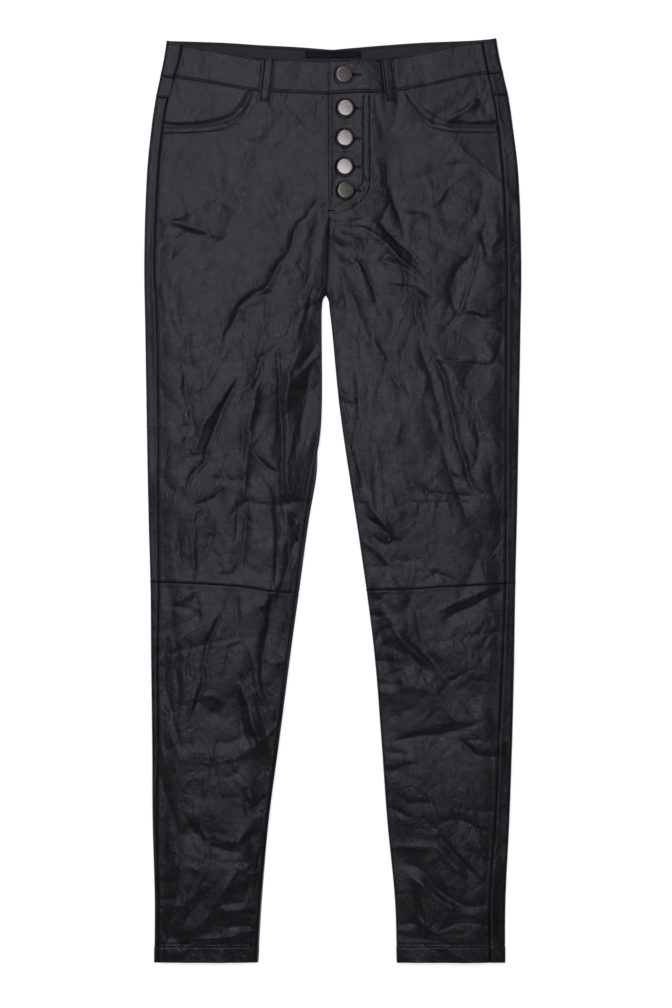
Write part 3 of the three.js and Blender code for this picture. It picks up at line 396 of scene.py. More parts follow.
def curve(rows, key, where, column):
    """Smooth curve through one column of a table, read along another column."""
    order = np.argsort(rows[key])
    keys, values = rows[key][order], rows[column][order]
    slopes = np.empty_like(values)
    slopes[1:-1] = (values[2:] - values[:-2]) / (keys[2:] - keys[:-2])
    slopes[0] = (values[1] - values[0]) / (keys[1] - keys[0])
    slopes[-1] = (values[-1] - values[-2]) / (keys[-1] - keys[-2])
    at = np.clip(where, keys[0], keys[-1])
    i = np.clip(np.searchsorted(keys, at) - 1, 0, len(keys) - 2)
    span = keys[i + 1] - keys[i]
    t = (at - keys[i]) / span
    lead = t * (1 - t) * (1 - t) * span * slopes[i]
    trail = t * t * (1 - t) * span * slopes[i + 1]
    return mix(values[i], values[i + 1], t * t * (3 - 2 * t)) + lead - trail


def outer_edge(side, y):
    return curve(OUTER[side], "y", y, "at") - LEATHER / 2


def side_seam(side, y):
    return curve(OUTER[side], "y", y, "seam")


def inner_edge(side, y):
    return curve(INNER[side], "y", y, "at") + LEATHER / 2


def inseam(side, y):
    return curve(INNER[side], "y", y, "inseam")


def knee_y(side, reach):
    return curve(KNEE[side], "at", reach, "y")


def back_top_y(side, reach):
    return curve(BACK_TOP[side], "at", reach, "y")


def band_top_y(side, reach):
    return curve(BAND_TOP[side], "at", reach, "y")


def band_seam_y(side, reach):
    return curve(BAND_SEAM[side], "at", reach, "y")


def either(x, read, where):
    """What a table says for the right side where x is below 0, and for the left elsewhere."""
    return np.where(x < 0, read("right", where), read("left", where))


def yoke_seam_y(side, reach):
    return mix(YOKE_BACK_Y, YOKE_SIDE_Y[side], ease(0, outer_edge(side, YOKE_EDGE_Y), reach))


def yoke_y(side, reach, wrap):
    """Seam between the back thigh and the yoke, also where they wrap round to the front."""
    return np.where(wrap > 0, YOKE_SIDE_Y[side], yoke_seam_y(side, reach))


def centre_x(y, top_x):
    """Middle seam of the front or the back, from the crotch to the height where the fly ends."""
    return mix(CROTCH_X, top_x, np.clip((y - CROTCH_Y) / (FLY_END_Y - CROTCH_Y), 0, 1))


def arc_to_inner(side, y):
    return outer_edge(side, y) - inner_edge(side, y) - 2 * (EDGE_RADIUS - EDGE_ARC)


def arc_to_middle(side, y, x):
    return outer_edge(side, y) - SIGN[side] * x - EDGE_RADIUS + EDGE_ARC


def tube(side, y, distance, folded):
    """Reach from the middle line and lift, from -1 at the back to 1 at the front, of a place at a
    distance round the flattened leg from its outer fold."""
    layer = np.where(distance < 0, -1.0, 1.0)
    run = np.abs(distance)
    angle = np.clip(run / EDGE_ARC, 0, 1) * math.pi / 2
    reach = outer_edge(side, y) - EDGE_RADIUS * (1 - np.cos(angle)) - np.maximum(run - EDGE_ARC, 0)
    lift = layer * np.sin(angle)
    if not folded:
        return reach, lift
    remaining = arc_to_inner(side, y) - run
    turned = np.clip(remaining / EDGE_ARC, -1, 1) * math.pi / 2
    past = np.maximum(0, -remaining - EDGE_ARC)
    turned_reach = inner_edge(side, y) + EDGE_RADIUS * (1 - np.cos(turned)) + past
    near = remaining < EDGE_ARC
    return np.where(near, turned_reach, reach), np.where(near, layer * np.sin(turned), lift)


def lie(side, y, folded, straight):
    """Reach and lift. The inner fold of the legs opens out flat above the crotch."""
    roll = 1 - ease(CROTCH_Y - 6, CROTCH_Y + 8, y)
    bent_reach, bent_lift = tube(side, y, folded, True)
    flat_reach, flat_lift = tube(side, y, straight, False)
    return mix(flat_reach, bent_reach, roll), mix(flat_lift, bent_lift, roll)


LATTICE = 128


def waves(x, y, size, seed):
    """Smooth uneven waves from -1 to 1, of about one size."""
    lattice = np.random.default_rng(seed).uniform(-1, 1, (LATTICE, LATTICE))
    u, v = x / size + LATTICE // 2, y / size + LATTICE // 2
    i, j = np.floor(u).astype(int), np.floor(v).astype(int)
    f, g = ease(0, 1, u - i), ease(0, 1, v - j)
    pick = lambda di, dj: lattice[(i + di) % LATTICE, (j + dj) % LATTICE]
    return mix(mix(pick(0, 0), pick(1, 0), f), mix(pick(0, 1), pick(1, 1), f), g)


def rounded_way(places, steps=4):
    """Smooth line through the places."""
    p = np.array(places, float)
    p = np.vstack([2 * p[0] - p[1], p, 2 * p[-1] - p[-2]])
    line = []
    for a, b, c, d in zip(p[:-3], p[1:-2], p[2:-1], p[3:]):
        for t in np.arange(steps) / steps:
            line.append((2 * b + (c - a) * t + (2 * a - 5 * b + 4 * c - d) * t * t
                         + (3 * b - a - 3 * c + d) * t ** 3) / 2)
    return np.array(line + [p[-2]])


def from_way(way, x, y):
    """Distance of each place from a line, its share of the way along it, and how far aside."""
    legs = np.diff(way, axis=0)
    lengths = np.hypot(legs[:, 0], legs[:, 1])
    starts = np.concatenate([[0], np.cumsum(lengths)])
    best, along, aside = np.full(x.shape, 1e9), np.zeros(x.shape), np.zeros(x.shape)
    for a, leg, length, start in zip(way, legs, lengths, starts):
        ax, ay = x - a[0], y - a[1]
        t = np.clip((ax * leg[0] + ay * leg[1]) / length ** 2, 0, 1)
        off = np.hypot(ax - t * leg[0], ay - t * leg[1])
        closer = off < best
        best = np.where(closer, off, best)
        along = np.where(closer, start + t * length, along)
        aside = np.where(closer, (leg[0] * ay - leg[1] * ax) / length, aside)
    return best, along / starts[-1], aside, starts[-1]


RUN_ON = 7
WIDEST = 6


def creased(rows, x, y):
    """Sum of the creases at each place. Each is sharp in the middle, steeper on one side than on
    the other, runs on a little past its last places and thins out there."""
    total = np.zeros_like(x)
    for number, (width, height, *places) in enumerate(rows):
        way = rounded_way(np.reshape(places, (-1, 2)))
        ends = [(way[0] - way[1]), (way[-1] - way[-2])]
        ends = [end / np.hypot(*end) * RUN_ON for end in ends]
        way = np.vstack([way[0] + ends[0], way, way[-1] + ends[1]])
        low, high = way.min(0) - WIDEST * width, way.max(0) + WIDEST * width
        near = (x > low[0]) & (x < high[0]) & (y > low[1]) & (y < high[1])
        if not near.any():
            continue
        best, share, aside, length = from_way(way, x[near], y[near])
        uneven = 1 + 0.2 * np.sin(2 * math.pi * (1.7 * share + 0.37 * number))
        fade = np.sin(math.pi * np.clip(share, 0, 1)) ** 0.8
        lean = 1 + 0.4 * (-1) ** number * np.tanh(aside / width)
        off = best / (width * (0.32 + 0.36 * fade) * lean)
        section = 0.75 * np.exp(-1.1 * off ** 1.2) + 0.35 * np.exp(-(off / 3) ** 2)
        total[near] += height * min(1, 0.45 + length / 110) * uneven * fade * section
    return total


# Folds that the worn leather keeps: size, stretch along the fold, turn, height, seed and whether
# the fold is sharp on top
KEPT_FOLDS = (
    (44, 3.6, 0.36, 1.9, 41, False), (34, 3.2, 0.75, 1.5, 42, True),
    (30, 3.0, -0.25, 1.3, 43, False), (22, 3.0, 1.35, 0.9, 44, False),
    (17, 2.6, 0.3, 0.7, 45, True), (12, 2.4, -0.7, 0.42, 46, False),
)


BETWEEN_LEGS_X = -4
LEGS_APART = 400


def crumpled(x, y):
    """Flat facets with sharp folds between them, calmer in some places than in others. The long
    folds run down and outward on both legs."""
    reach = np.abs(x - BETWEEN_LEGS_X) + LEGS_APART * (x > BETWEEN_LEGS_X)
    u = reach + 8 * waves(x, y, 52, 21) + 3 * waves(x, y, 19, 22)
    v = y + 8 * waves(x, y, 52, 23) + 3 * waves(x, y, 19, 24)
    total = np.zeros_like(x)
    for size, stretch, turn, height, seed, on_top in KEPT_FOLDS:
        along = v * math.cos(turn) - u * math.sin(turn)
        aside = u * math.cos(turn) + v * math.sin(turn)
        off = np.sqrt(waves(aside, along / stretch, size, seed) ** 2 + 0.0008)
        fold = 1 - np.exp(-off / 0.3) - 0.6
        strong = mix(0.3, 1, ease(-0.4, 0.4, waves(x, y, 2.2 * size, seed + 10)))
        total += height * strong * (-fold if on_top else fold)
    return total


def warped(x, y):
    """Places moved a little, so that no crease is a clean line."""
    return x + 1.3 * waves(x, y, 17, 3) + 0.6 * waves(x, y, 7, 4), y + 1.3 * waves(x, y, 17, 5)


def puff(x, y):
    """How far the front stands up in the middle of a leg, over the air inside."""
    outer = either(x, outer_edge, y) - np.abs(x)
    inner = np.abs(x) - either(x, inner_edge, y)
    inner = inner + 40 * ease(CROTCH_Y - 20, CROTCH_Y + 14, y)
    middle = ease(0, 34, np.minimum(outer, inner))
    return PUFF * middle * (1 - ease(290, 350, y)) * mix(0.45, 1, ease(HEM_Y, HEM_Y + 60, y))


HIGHEST_FOLD = 6
HIP_Y = (310, 400)
BAND_RISE_Y = (375, 441)


def front_level(x, y):
    """Height of the middle of the front's leather. It is calmer at the hips, and no trough is
    deeper than the room over the back."""
    base = FRONT_LEVEL + (FRONT_BAND_LEVEL - FRONT_LEVEL) * ease(*BAND_RISE_Y, y)
    calm = 1 - 0.45 * ease(*HIP_Y, y)
    relief = (1.15 * creased(FRONT_CREASES, *warped(x, y)) + crumpled(x, y)) * calm
    relief += 0.9 * waves(x, y, 62, 11)
    stand = puff(x, y)
    room = (ROOM + 0.8 * stand) * mix(1, 0.5, ease(330, 400, y))
    limit = np.where(relief < 0, room, HIGHEST_FOLD)
    return base + stand + limit * np.tanh(relief / limit)


def leg_thickness(y):
    return mix(LEATHER, HEM_LEATHER, 1 - ease(HEM_Y + HEM_DEPTH - 1, HEM_Y + HEM_DEPTH + 1, y))


def back_level(side, reach, y):
    """Height of the middle of the back's leather, which lies on the floor between its folds."""
    seam = back_top_y(side, reach) - BAND_HEIGHT
    rise = (BACK_BAND_LEVEL - BACK_LEVEL) * ease(seam - 56, seam - 14, y)
    x = SIGN[side] * reach
    lifted = creased(BACK_CREASES, *warped(x, y)) + 0.6 * crumpled(x, y)
    lifted = np.clip(lifted, 0, None) * (1 - ease(330, 400, y))
    inside = ease(3, 16, np.minimum(outer_edge(side, y) - reach, reach - inner_edge(side, y)))
    return BACK_LEVEL + rise + (leg_thickness(y) - LEATHER) / 2 + 0.9 * np.tanh(lifted) * inside


NEAR_EDGE = np.array([0, 0.25, 0.6, 1.2, 2.0, 3.0, 4.2])
ROWS_BEGIN = 5.6
COLUMNS_BEGIN = 5.5


def stops(start, end, spacing, fine=NEAR_EDGE):
    """Values from start to end, close together at both ends."""
    count = max(2, round((end - start - 2 * ROWS_BEGIN) / spacing))
    inner = np.linspace(start + ROWS_BEGIN, end - ROWS_BEGIN, count)
    return np.concatenate([start + fine, inner, end - fine[::-1]])


def front_columns(side, y, overhang=0):
    """Distances round the leg of the columns of a front, from the side seam to the inseam."""
    start = side_seam(side, y) + SEAM_GAP / 2
    bent = arc_to_inner(side, y) - inseam(side, y) - SEAM_GAP / 2
    straight = arc_to_middle(side, y, centre_x(y, CENTRE_FRONT_X)) - SEAM_GAP / 2 + overhang
    return start, bent, straight


def back_columns(side, y):
    """The same for a back, from the side seam the other way round the leg."""
    start = side_seam(side, y) - SEAM_GAP / 2
    bent = -(arc_to_inner(side, y) + inseam(side, y) - SEAM_GAP / 2)
    straight = -(arc_to_middle(side, y, centre_x(y, 0)) - SEAM_GAP / 2)
    return start, bent, straight


OVER = np.array([1, 0.97, 0.9, 0.78, 0.64, 0.5, 0.36, 0.24, 0.15, 0.08, 0.03])
UNDER = np.linspace(0, 1, 7)


def spread_front(side, shares, offsets):
    """Columns across a front, from its side seam to the middle."""
    def place(y, overhang=0):
        start, bent, straight = front_columns(side, y, overhang)
        return mix(start, bent, shares) + offsets, mix(start, straight, shares) + offsets
    return place


def spread_back(side, shares, offsets):
    """Columns over the front strip, round the outer fold, and across the back."""
    def place(y):
        start, bent, straight = back_columns(side, y)
        over, under = OVER * start, -EDGE_ARC * UNDER + 0 * start
        across = [mix(-EDGE_ARC, end, shares) + offsets for end in (bent, straight)]
        return tuple(np.concatenate([over, under, far], axis=1) for far in across)
    return place


def columns_between(width, spacing):
    """Shares and offsets of columns that are close together at both ends."""
    inner = np.linspace(0, 1, max(3, round((width - 2 * COLUMNS_BEGIN) / spacing)))
    shares = np.concatenate([0 * NEAR_EDGE, inner, 1 + 0 * NEAR_EDGE])
    middle = mix(COLUMNS_BEGIN, -COLUMNS_BEGIN, inner)
    return shares, np.concatenate([NEAR_EDGE, middle, -NEAR_EDGE[::-1]])


def panel(side, heights, columns, follow, first=None):
    """Reach, height and lift of each place of a panel. Its rows follow the seams at its ends."""
    heights = np.asarray(heights, float)[:, None]
    count = columns(heights)[0].shape[1]
    heights = np.repeat(heights, count, axis=1)
    y = heights if first is None else np.full_like(heights, first)

    for _ in range(3):
        bent, straight = columns_at(columns, y)
        reach = lie(side, y, bent, straight)[0]
        y = follow(heights, reach, np.clip(straight / side_seam(side, y), 0, 1))
    bent, straight = columns_at(columns, y)
    reach, lift = lie(side, y, bent, straight)
    return reach, y, lift


def columns_at(columns, y):
    """Each column's own distance at its own height."""
    bent, straight = np.empty_like(y), np.empty_like(y)
    for j in range(y.shape[1]):
        b, s = columns(y[:, [j]])
        bent[:, j], straight[:, j] = b[:, j], s[:, j]
    return bent, straight


def follow_seams(height, low, low_at, low_blend, high, high_at, high_blend):
    """Rows that run level in the middle of a panel and along its seams at both ends."""
    near_low = mix(low_blend, low, (low_blend - height) / (low_blend - low_at))
    near_high = mix(high_blend, high, (height - high_blend) / (high_at - high_blend))
    return np.where(height < low_blend, near_low, np.where(height > high_blend, near_high, height))


def thigh_rows(side, top):
    """How the rows of a thigh lie between the knee seam and its top edge."""
    return lambda height, reach, wrap: follow_seams(
        height, knee_y(side, reach) + SEAM_GAP / 2, KNEE_Y, THIGH_STRAIGHT_Y[0],
        top(side, reach, wrap), FRONT_TOP_Y, THIGH_STRAIGHT_Y[1])


def calf_rows(side):
    """How the rows of a calf lie between the hem and the knee seam."""
    return lambda height, reach, wrap: follow_seams(
        height, HEM_Y, HEM_Y, HEM_Y + 1, knee_y(side, reach) - SEAM_GAP / 2, KNEE_Y,
        CALF_STRAIGHT_Y)


def laid(side, reach, y, lift, lifted=0):
    """Middle surface of a panel, from its back level to its front level."""
    x = SIGN[side] * reach
    front = front_level(x, y) + lifted
    return np.dstack([x, y, mix(back_level(side, reach, y), front, (1 + lift) / 2)])


def from_edges(grid):
    """Distances over the cloth from its first and last columns and rows."""
    def run(axis):
        steps = np.linalg.norm(np.diff(grid, axis=axis), axis=2)
        gone = np.cumsum(steps, axis=axis)
        zero = np.zeros_like(np.take(gone, [0], axis=axis))
        first = np.concatenate([zero, gone], axis=axis)
        return first, np.take(first, [-1], axis=axis) - first
    return (*run(1), *run(0))


def outward(grid):
    """Normals of a sheet, all on the same side of it."""
    normal = np.cross(np.gradient(grid, axis=1), np.gradient(grid, axis=0))
    normal /= np.maximum(np.linalg.norm(normal, axis=2, keepdims=True), 1e-9)
    return normal * np.sign(normal[:, 0, 2].mean())


LIP_AT = 2.7
LIP_WIDTH = 1.5
DIP_WIDTH = 0.6
RIM = 0.4
WORN_WIDTH = 1.4


def ridge(distance, at, width):
    """1 at a distance from an edge or a line, falling off on both sides."""
    return np.exp(-((distance - at) / width) ** 2)


def pressed(distance, dip, lip):
    """Leather drawn down at a seam, and raised beside it over the seam allowance."""
    return lip * ridge(distance, LIP_AT, LIP_WIDTH) - dip * np.exp(-(distance / DIP_WIDTH) ** 1.5)


# Way from these tables to the shared frame, read from where the label lies in both
LABEL = {"x": 0.5, "y": 486, "z": 5.0, "width": 61, "height": 7.6}
SHIFT = sum(np.array(corner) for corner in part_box("label")) / 2
SHIFT = SHIFT - np.array([LABEL["x"], LABEL["y"], LABEL["z"]]) * MM


def fixed_on(name, mesh, finish):
    """Object of a mesh, with its finish, on the one body."""
    mesh.materials.append(finish)
    made = bpy.data.objects.new(name, mesh)
    bpy.context.scene.collection.objects.link(made)
    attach(made, "root")
    return made


def solid(name, points, faces, finish):
    """Smooth shaded object of points and faces."""
    mesh = bpy.data.meshes.new(name)
    mesh.from_pydata([tuple(point) for point in points], [], faces)
    mesh.polygons.foreach_set("use_smooth", np.ones(len(faces), bool))
    return fixed_on(name, mesh, finish)


def cloth(name, grid, thickness, finish, edges=((0, 0),) * 4, flat=None):
    """Closed wall of cloth round a grid of middle points, with rounded cut edges. Edges gives the
    dip and the lip at the first and last columns and the first and last rows."""
    distances = from_edges(grid)
    cut = float(np.linalg.norm(np.cross(
        grid[1:, :-1] - grid[:-1, :-1], grid[:-1, 1:] - grid[:-1, :-1]), axis=2).sum())
    normal = outward(grid)
    relief = sum(pressed(d, dip, lip) for d, (dip, lip) in zip(distances, edges))
    grid = grid + normal * relief[:, :, None]
    normal = outward(grid)
    thickness = np.broadcast_to(thickness, grid.shape[:2])
    rim = np.clip(np.minimum.reduce(distances) / (RIM * thickness), 0, 1)
    half = thickness * (RIM + (1 - RIM) * np.sqrt(1 - (1 - rim) ** 2)) / 2
    points = np.concatenate([grid + normal * half[:, :, None], grid - normal * half[:, :, None]])
    points = points.reshape(-1, 3) * MM + SHIFT
    points[:, 2] = np.maximum(points[:, 2], 0)
    rows, columns = grid.shape[:2]
    index = np.arange(rows * columns).reshape(rows, columns)
    under = index + rows * columns
    square = lambda k: np.stack([k[:-1, :-1], k[:-1, 1:], k[1:, 1:], k[1:, :-1]], 2).reshape(-1, 4)
    border = np.concatenate([index[0], index[1:, -1], index[-1, -2::-1], index[-2:0:-1, 0]])
    after = np.roll(border, -1)
    sides = np.stack([after, border, border + rows * columns, after + rows * columns], 1)
    faces = np.concatenate([square(index), square(under)[:, ::-1], sides])
    if np.cross(grid[0, 1] - grid[0, 0], grid[1, 0] - grid[0, 0]) @ normal[0, 0] < 0:
        faces = faces[:, ::-1]
    mesh = bpy.data.meshes.new(name)
    mesh.vertices.add(len(points))
    mesh.vertices.foreach_set("co", points.ravel())
    mesh.loops.add(faces.size)
    mesh.loops.foreach_set("vertex_index", faces.ravel().astype(np.int32))
    mesh.polygons.add(len(faces))
    mesh.polygons.foreach_set("loop_start", np.arange(0, faces.size, 4, dtype=np.int32))
    mesh.polygons.foreach_set("use_smooth", np.ones(len(faces), bool))
    worn = np.exp(-np.minimum.reduce(distances) / WORN_WIDTH) + np.clip(relief, 0, 1)
    rubbed = mesh.attributes.new("wear", "FLOAT", "POINT")
    rubbed.data.foreach_set("value", np.tile(np.clip(worn, 0, 1).ravel(), 2).astype(np.float32))
    mesh.update()
    mesh.validate()
    made = fixed_on(name, mesh, finish)
    if flat is None:
        flat = (float(distances[0][:, -1].max()) * MM, float(distances[2][-1].max()) * MM)
    return made


class Link:
    """Output of a shader node that can stand in a sum."""

    def __init__(self, paint, socket):
        self.paint = paint
        self.socket = socket

    def math(self, operation, *values):
        named = dict(enumerate(values))
        return self.paint.node("Math", {"operation": operation}, named)

    def __add__(self, other):
        return self.math("ADD", self, other)

    def __sub__(self, other):
        return self.math("SUBTRACT", self, other)

    def __rsub__(self, other):
        return self.math("SUBTRACT", other, self)

    def __mul__(self, other):
        return self.math("MULTIPLY", self, other)

    __radd__ = __add__
    __rmul__ = __mul__


class Paint:
    """Finish of a surface, made of shader nodes."""

    def __init__(self, name):
        self.material = bpy.data.materials.new(name)
        self.material.use_nodes = True
        self.tree = self.material.node_tree
        self.tree.nodes.clear()
        self.place = self.node("TexCoord", output="Object")

    def node(self, kind, settings=None, inputs=None, output=0):
        node = self.tree.nodes.new("ShaderNode" + kind)
        for key, value in (settings or {}).items():
            setattr(node, key, value)
        for key, value in (inputs or {}).items():
            if isinstance(value, Link):
                self.tree.links.new(value.socket, node.inputs[key])
            else:
                node.inputs[key].default_value = value
        return None if output is None else Link(self, node.outputs[output])

    def noise(self, place, scale, detail, roughness=0.5, output=0):
        return self.node("TexNoise", {}, {"Vector": place, "Scale": scale, "Detail": detail,
                                          "Roughness": roughness}, output)

    def scaled(self, place, scales):
        return self.node("VectorMath", {"operation": "MULTIPLY"}, {0: place, 1: scales})

    def drifted(self, scale, detail, reach):
        """Places moved about by a soft noise."""
        drift = self.noise(self.place, scale, detail, output="Color")
        return self.node("VectorMath", {"operation": "MULTIPLY_ADD"},
                         {0: drift, 1: reach, 2: self.place})

    def ramp(self, value, low, high, kind="SMOOTHSTEP"):
        return self.node("MapRange", {"interpolation_type": kind},
                         {"Value": value, "From Min": low, "From Max": high})

    def cells(self, place, scale, border):
        """0 on the borders of uneven cells and 1 inside them."""
        off = self.node("TexVoronoi", {"feature": "DISTANCE_TO_EDGE"},
                        {"Vector": place, "Scale": scale})
        return self.ramp(off, 0, border)

    def blend(self, share, *colours):
        """Colour between two colours."""
        first, second = (c if isinstance(c, Link) else (*c, 1) for c in colours)
        return self.node("Mix", {"data_type": "RGBA"}, {0: share, 6: first, 7: second}, 2)

    def bump(self, height, strength, distance, below=None):
        inputs = {"Height": height, "Strength": strength, "Distance": distance}
        return self.node("Bump", {}, inputs | ({"Normal": below} if below else {}))

    def surface(self, inputs):
        shader = self.node("BsdfPrincipled", {}, inputs)
        self.node("OutputMaterial", {}, {"Surface": shader}, None)
        return self.material


def leather(name, dark, pale, roughness, grain):
    """Satin leather: pebbled grain, hair-fine break lines, small pressed folds, cloudy colour, and
    edges rubbed paler."""
    paint = Paint(name)
    pebbled = paint.cells(paint.drifted(420, 1, (0.0006,) * 3), 1150, 0.32)
    bent = paint.drifted(90, 2, (0.012,) * 3)
    hairline = paint.cells(bent, 135, 0.075)
    cloud = paint.noise(paint.place, 16, 4, 0.6)
    patch = paint.noise(paint.place, 75, 3)
    wear = paint.node("Attribute", {"attribute_name": "wear"}, {}, "Fac")
    tone = paint.ramp(cloud * 0.7 + patch * 0.3, 0.32, 0.68, "LINEAR")
    rubbed = [1.9 * value for value in pale]
    shade = paint.blend(wear * 0.08, paint.blend(tone, dark, pale), rubbed)
    cracks = paint.bump(hairline * patch, 0.13, 0.00022)
    swept = paint.drifted(22, 3, (0.045, 0.07, 0.02))
    folds = paint.noise(paint.scaled(swept, (46, 21, 40)), 1, 2)
    folds = paint.node("Math", {"operation": "ABSOLUTE"}, {0: folds - 0.5})
    folded = paint.ramp(folds, 0, 0.055) * paint.ramp(cloud, 0.42, 0.6, "LINEAR")
    long_folds = paint.bump(folded, 0.4, 0.0006, cracks)
    uneven = paint.bump(paint.noise(bent, 190, 5, 0.62), 0.7, 0.0006, long_folds)
    cloudy = cloud * 0.5 + patch * 0.5 - 0.5
    polish = roughness + 0.12 * wear + 0.22 * cloudy + 0.05 * (1 - pebbled)
    return paint.surface({
        "Base Color": shade, "Roughness": polish, "IOR": 1.47, "Specular IOR Level": 0.34,
        "Normal": paint.bump(pebbled, grain, 0.00009, uneven)})


BLACK_LEATHER = leather("black_leather", (0.0022, 0.0022, 0.0029), (0.0045, 0.0045, 0.006),
                        roughness=0.27, grain=0.5)

SIDE_EDGE = (0.85, 0.3)
PLAIN_EDGE = (0.6, 0.1)
for side in ("right", "left"):
    back_shares, back_offsets = columns_between(150, 4)
    across = spread_back(side, back_shares, back_offsets)
    reach, y, lift = panel(side, stops(KNEE_Y, FRONT_TOP_Y, 4), across, thigh_rows(
        side, lambda side, reach, wrap: yoke_y(side, reach, wrap) - SEAM_GAP / 2))
    thigh = cloth(f"{side}_thigh_back", laid(side, reach, y, lift), LEATHER, BLACK_LEATHER,
                  (SIDE_EDGE, PLAIN_EDGE, PLAIN_EDGE, PLAIN_EDGE))
    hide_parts(f"{side}_back_thigh")

    rows = np.concatenate([
        HEM_Y + np.array([0, 0.3, 0.8, 2, 5, 9]), HEM_Y + HEM_ROWS,
        stops(HEM_Y + 19, KNEE_Y, 4)])
    reach, y, lift = panel(side, rows, across, calf_rows(side))
    calf = cloth(f"{side}_calf_back", laid(side, reach, y, lift), leg_thickness(y), BLACK_LEATHER,
                 (SIDE_EDGE, PLAIN_EDGE, (0, 0), PLAIN_EDGE))
    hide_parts(f"{side}_back_calf")


def back_band_y(side, reach, wrap, depth):
    """Height of the back waistband's seam or top edge, sloping to the side seam on the front."""
    tip = outer_edge(side, BAND_Y)
    seam_reach = tip - side_seam(side, BAND_Y)
    at_seam = (band_seam_y if depth else band_top_y)(side, seam_reach)
    over = mix(back_top_y(side, tip) - depth, at_seam, wrap)
    return np.where(wrap > 0, over, back_top_y(side, reach) - depth)


for side in ("right", "left"):
    reach, y, lift = panel(
        side, np.concatenate([[0, 0.008, 0.02, 0.04, 0.08, 0.14], np.linspace(0.2, 0.8, 10),
                              [0.86, 0.92, 0.96, 0.98, 0.992, 1]]),
        across, lambda share, reach, wrap: mix(
            yoke_y(side, reach, wrap) + SEAM_GAP / 2,
            back_band_y(side, reach, wrap, BAND_HEIGHT) - SEAM_GAP / 2, share), BAND_Y)
    yoke = cloth(f"{side}_back_yoke", laid(side, reach, y, lift), LEATHER, BLACK_LEATHER,
                 (SIDE_EDGE, PLAIN_EDGE, (0.4, 0.3), PLAIN_EDGE))
    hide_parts(f"{side}_yoke")


# Back waistband: two layers of leather from the centre back round both sides to the side seams.
# Its lining shows inside, above the lower front, with a bare woven label sewn on at its ends.
BACK_BAND_THICK = 1.4
LINING_LEVEL = 3.7
LINING_Y = 495
LINING_DROP = 0.8
BAND_ROWS = np.concatenate([
    [0, 0.006, 0.016, 0.032, 0.048, 0.063, 0.08, 0.11], np.linspace(0.15, 0.85, 15),
    [0.89, 0.92, 0.946, 0.968, 0.984, 0.994, 1]])


def woven(name, dark, pale, scale, roughness):
    """Closely woven cloth: crossing threads, with uneven dye."""
    paint = Paint(name)
    warp, weft = (paint.node("TexWave", {"bands_direction": way}, {
        "Vector": paint.place, "Scale": scale, "Distortion": 0.3}) for way in "XY")
    dye = paint.noise(paint.place, 70, 4)
    shade = paint.blend(warp * weft * 0.6 + dye * 0.4, dark, pale)
    return paint.surface({"Base Color": shade, "Roughness": roughness + 0.1 * dye, "IOR": 1.45,
                          "Specular IOR Level": 0.25,
                          "Normal": paint.bump(warp + weft, 0.6, 0.00015)})


halves = []
for side in ("right", "left"):
    shares, offsets = columns_between(150, 2.4)
    reach, y, lift = panel(
        side, BAND_ROWS, spread_back(side, shares, offsets), lambda share, reach, wrap: mix(
            back_band_y(side, reach, wrap, BAND_HEIGHT) + SEAM_GAP / 2,
            back_band_y(side, reach, wrap, 0), share), BAND_Y)
    halves.append(laid(side, reach, y, lift))
back_band = cloth("back_waistband", np.concatenate([halves[0][:, :-1], halves[1][:, ::-1]], 1),
                  BACK_BAND_THICK, BLACK_LEATHER,
                  (SIDE_EDGE, SIDE_EDGE, (0.4, 0.2), (0.3, 0.15)))
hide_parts("back_band")

across = np.linspace(-1, 1, 241)[None, :]
half_width = either(across, outer_edge, LINING_Y) - 5
top = either(across, back_top_y, np.abs(across) * half_width) - LINING_DROP
y = mix(top - BAND_HEIGHT + 2, top, BAND_ROWS[:, None])
x = np.broadcast_to(across * half_width, y.shape)
z = LINING_LEVEL + 0.14 * waves(x, y, 23, 31) - 0.22 * ridge(top - y, 2.4, 0.8)
INNER_FACE = woven("inner_face", (0.02, 0.02, 0.021), (0.05, 0.05, 0.052), 260, 0.62)
facing = cloth("back_band_lining", np.dstack([x, y, z]), 1.0, INNER_FACE)
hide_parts("back_band_facing")

half_width, half_height = LABEL["width"] / 2, LABEL["height"] / 2
x = stops(-half_width, half_width, 1.5, np.array([0, 0.2, 0.5, 1, 1.7])) + LABEL["x"]
x, y = np.meshgrid(x, np.linspace(-half_height, half_height, 12) + LABEL["y"])
ends = half_width - np.abs(x - LABEL["x"])
z = LABEL["z"] - 0.05 + 0.12 * waves(x, y, 9, 32) - 0.25 * ridge(ends, 1.4, 1.1)
LABEL_CLOTH = woven("label_cloth", (0.004, 0.004, 0.005), (0.018, 0.018, 0.02), 620, 0.7)
label = cloth("woven_label", np.dstack([x, y, z]), 0.9, LABEL_CLOTH,
              flat=(LABEL["width"] * MM, 10 * MM))
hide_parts("label")


# Belt loops of the back: folded strips 12 mm wide, sewn over the waistband and the yoke below it,
# so they lie underneath.
LOOP_WIDTH = 12
LOOP_BELOW_BAND = 11
LOOP_THICK = 1.15
FRONT_LOOP_THICK = 1.2
LOOP_STITCHES = (-4.1, 4.1)
BACK_LOOPS = {"right_back_loop": -118, "centre_back_loop": 0, "left_back_loop": 118}


def loop_grid(bottom, top, middle_x, level):
    """Strip with its edges turned in, a little proud between its two sewn ends."""
    near_end = np.array([0, 0.006, 0.016, 0.03, 0.05])
    along = np.concatenate([near_end, np.linspace(0.08, 0.92, 28), 1 - near_end[::-1]])
    half = np.array([0.2, 0.4, 0.54, 0.62, 0.7, 0.78, 0.86, 0.92, 0.97, 1])
    share, place = np.meshgrid(along, np.concatenate([-half[::-1], [0], half]), indexing="ij")
    y = mix(bottom, top, share)
    x = middle_x(share) + place * LOOP_WIDTH / 2
    return np.dstack([x, y, level(x, y) - 0.4 * ridge(np.abs(place), 0.7, 0.1)])


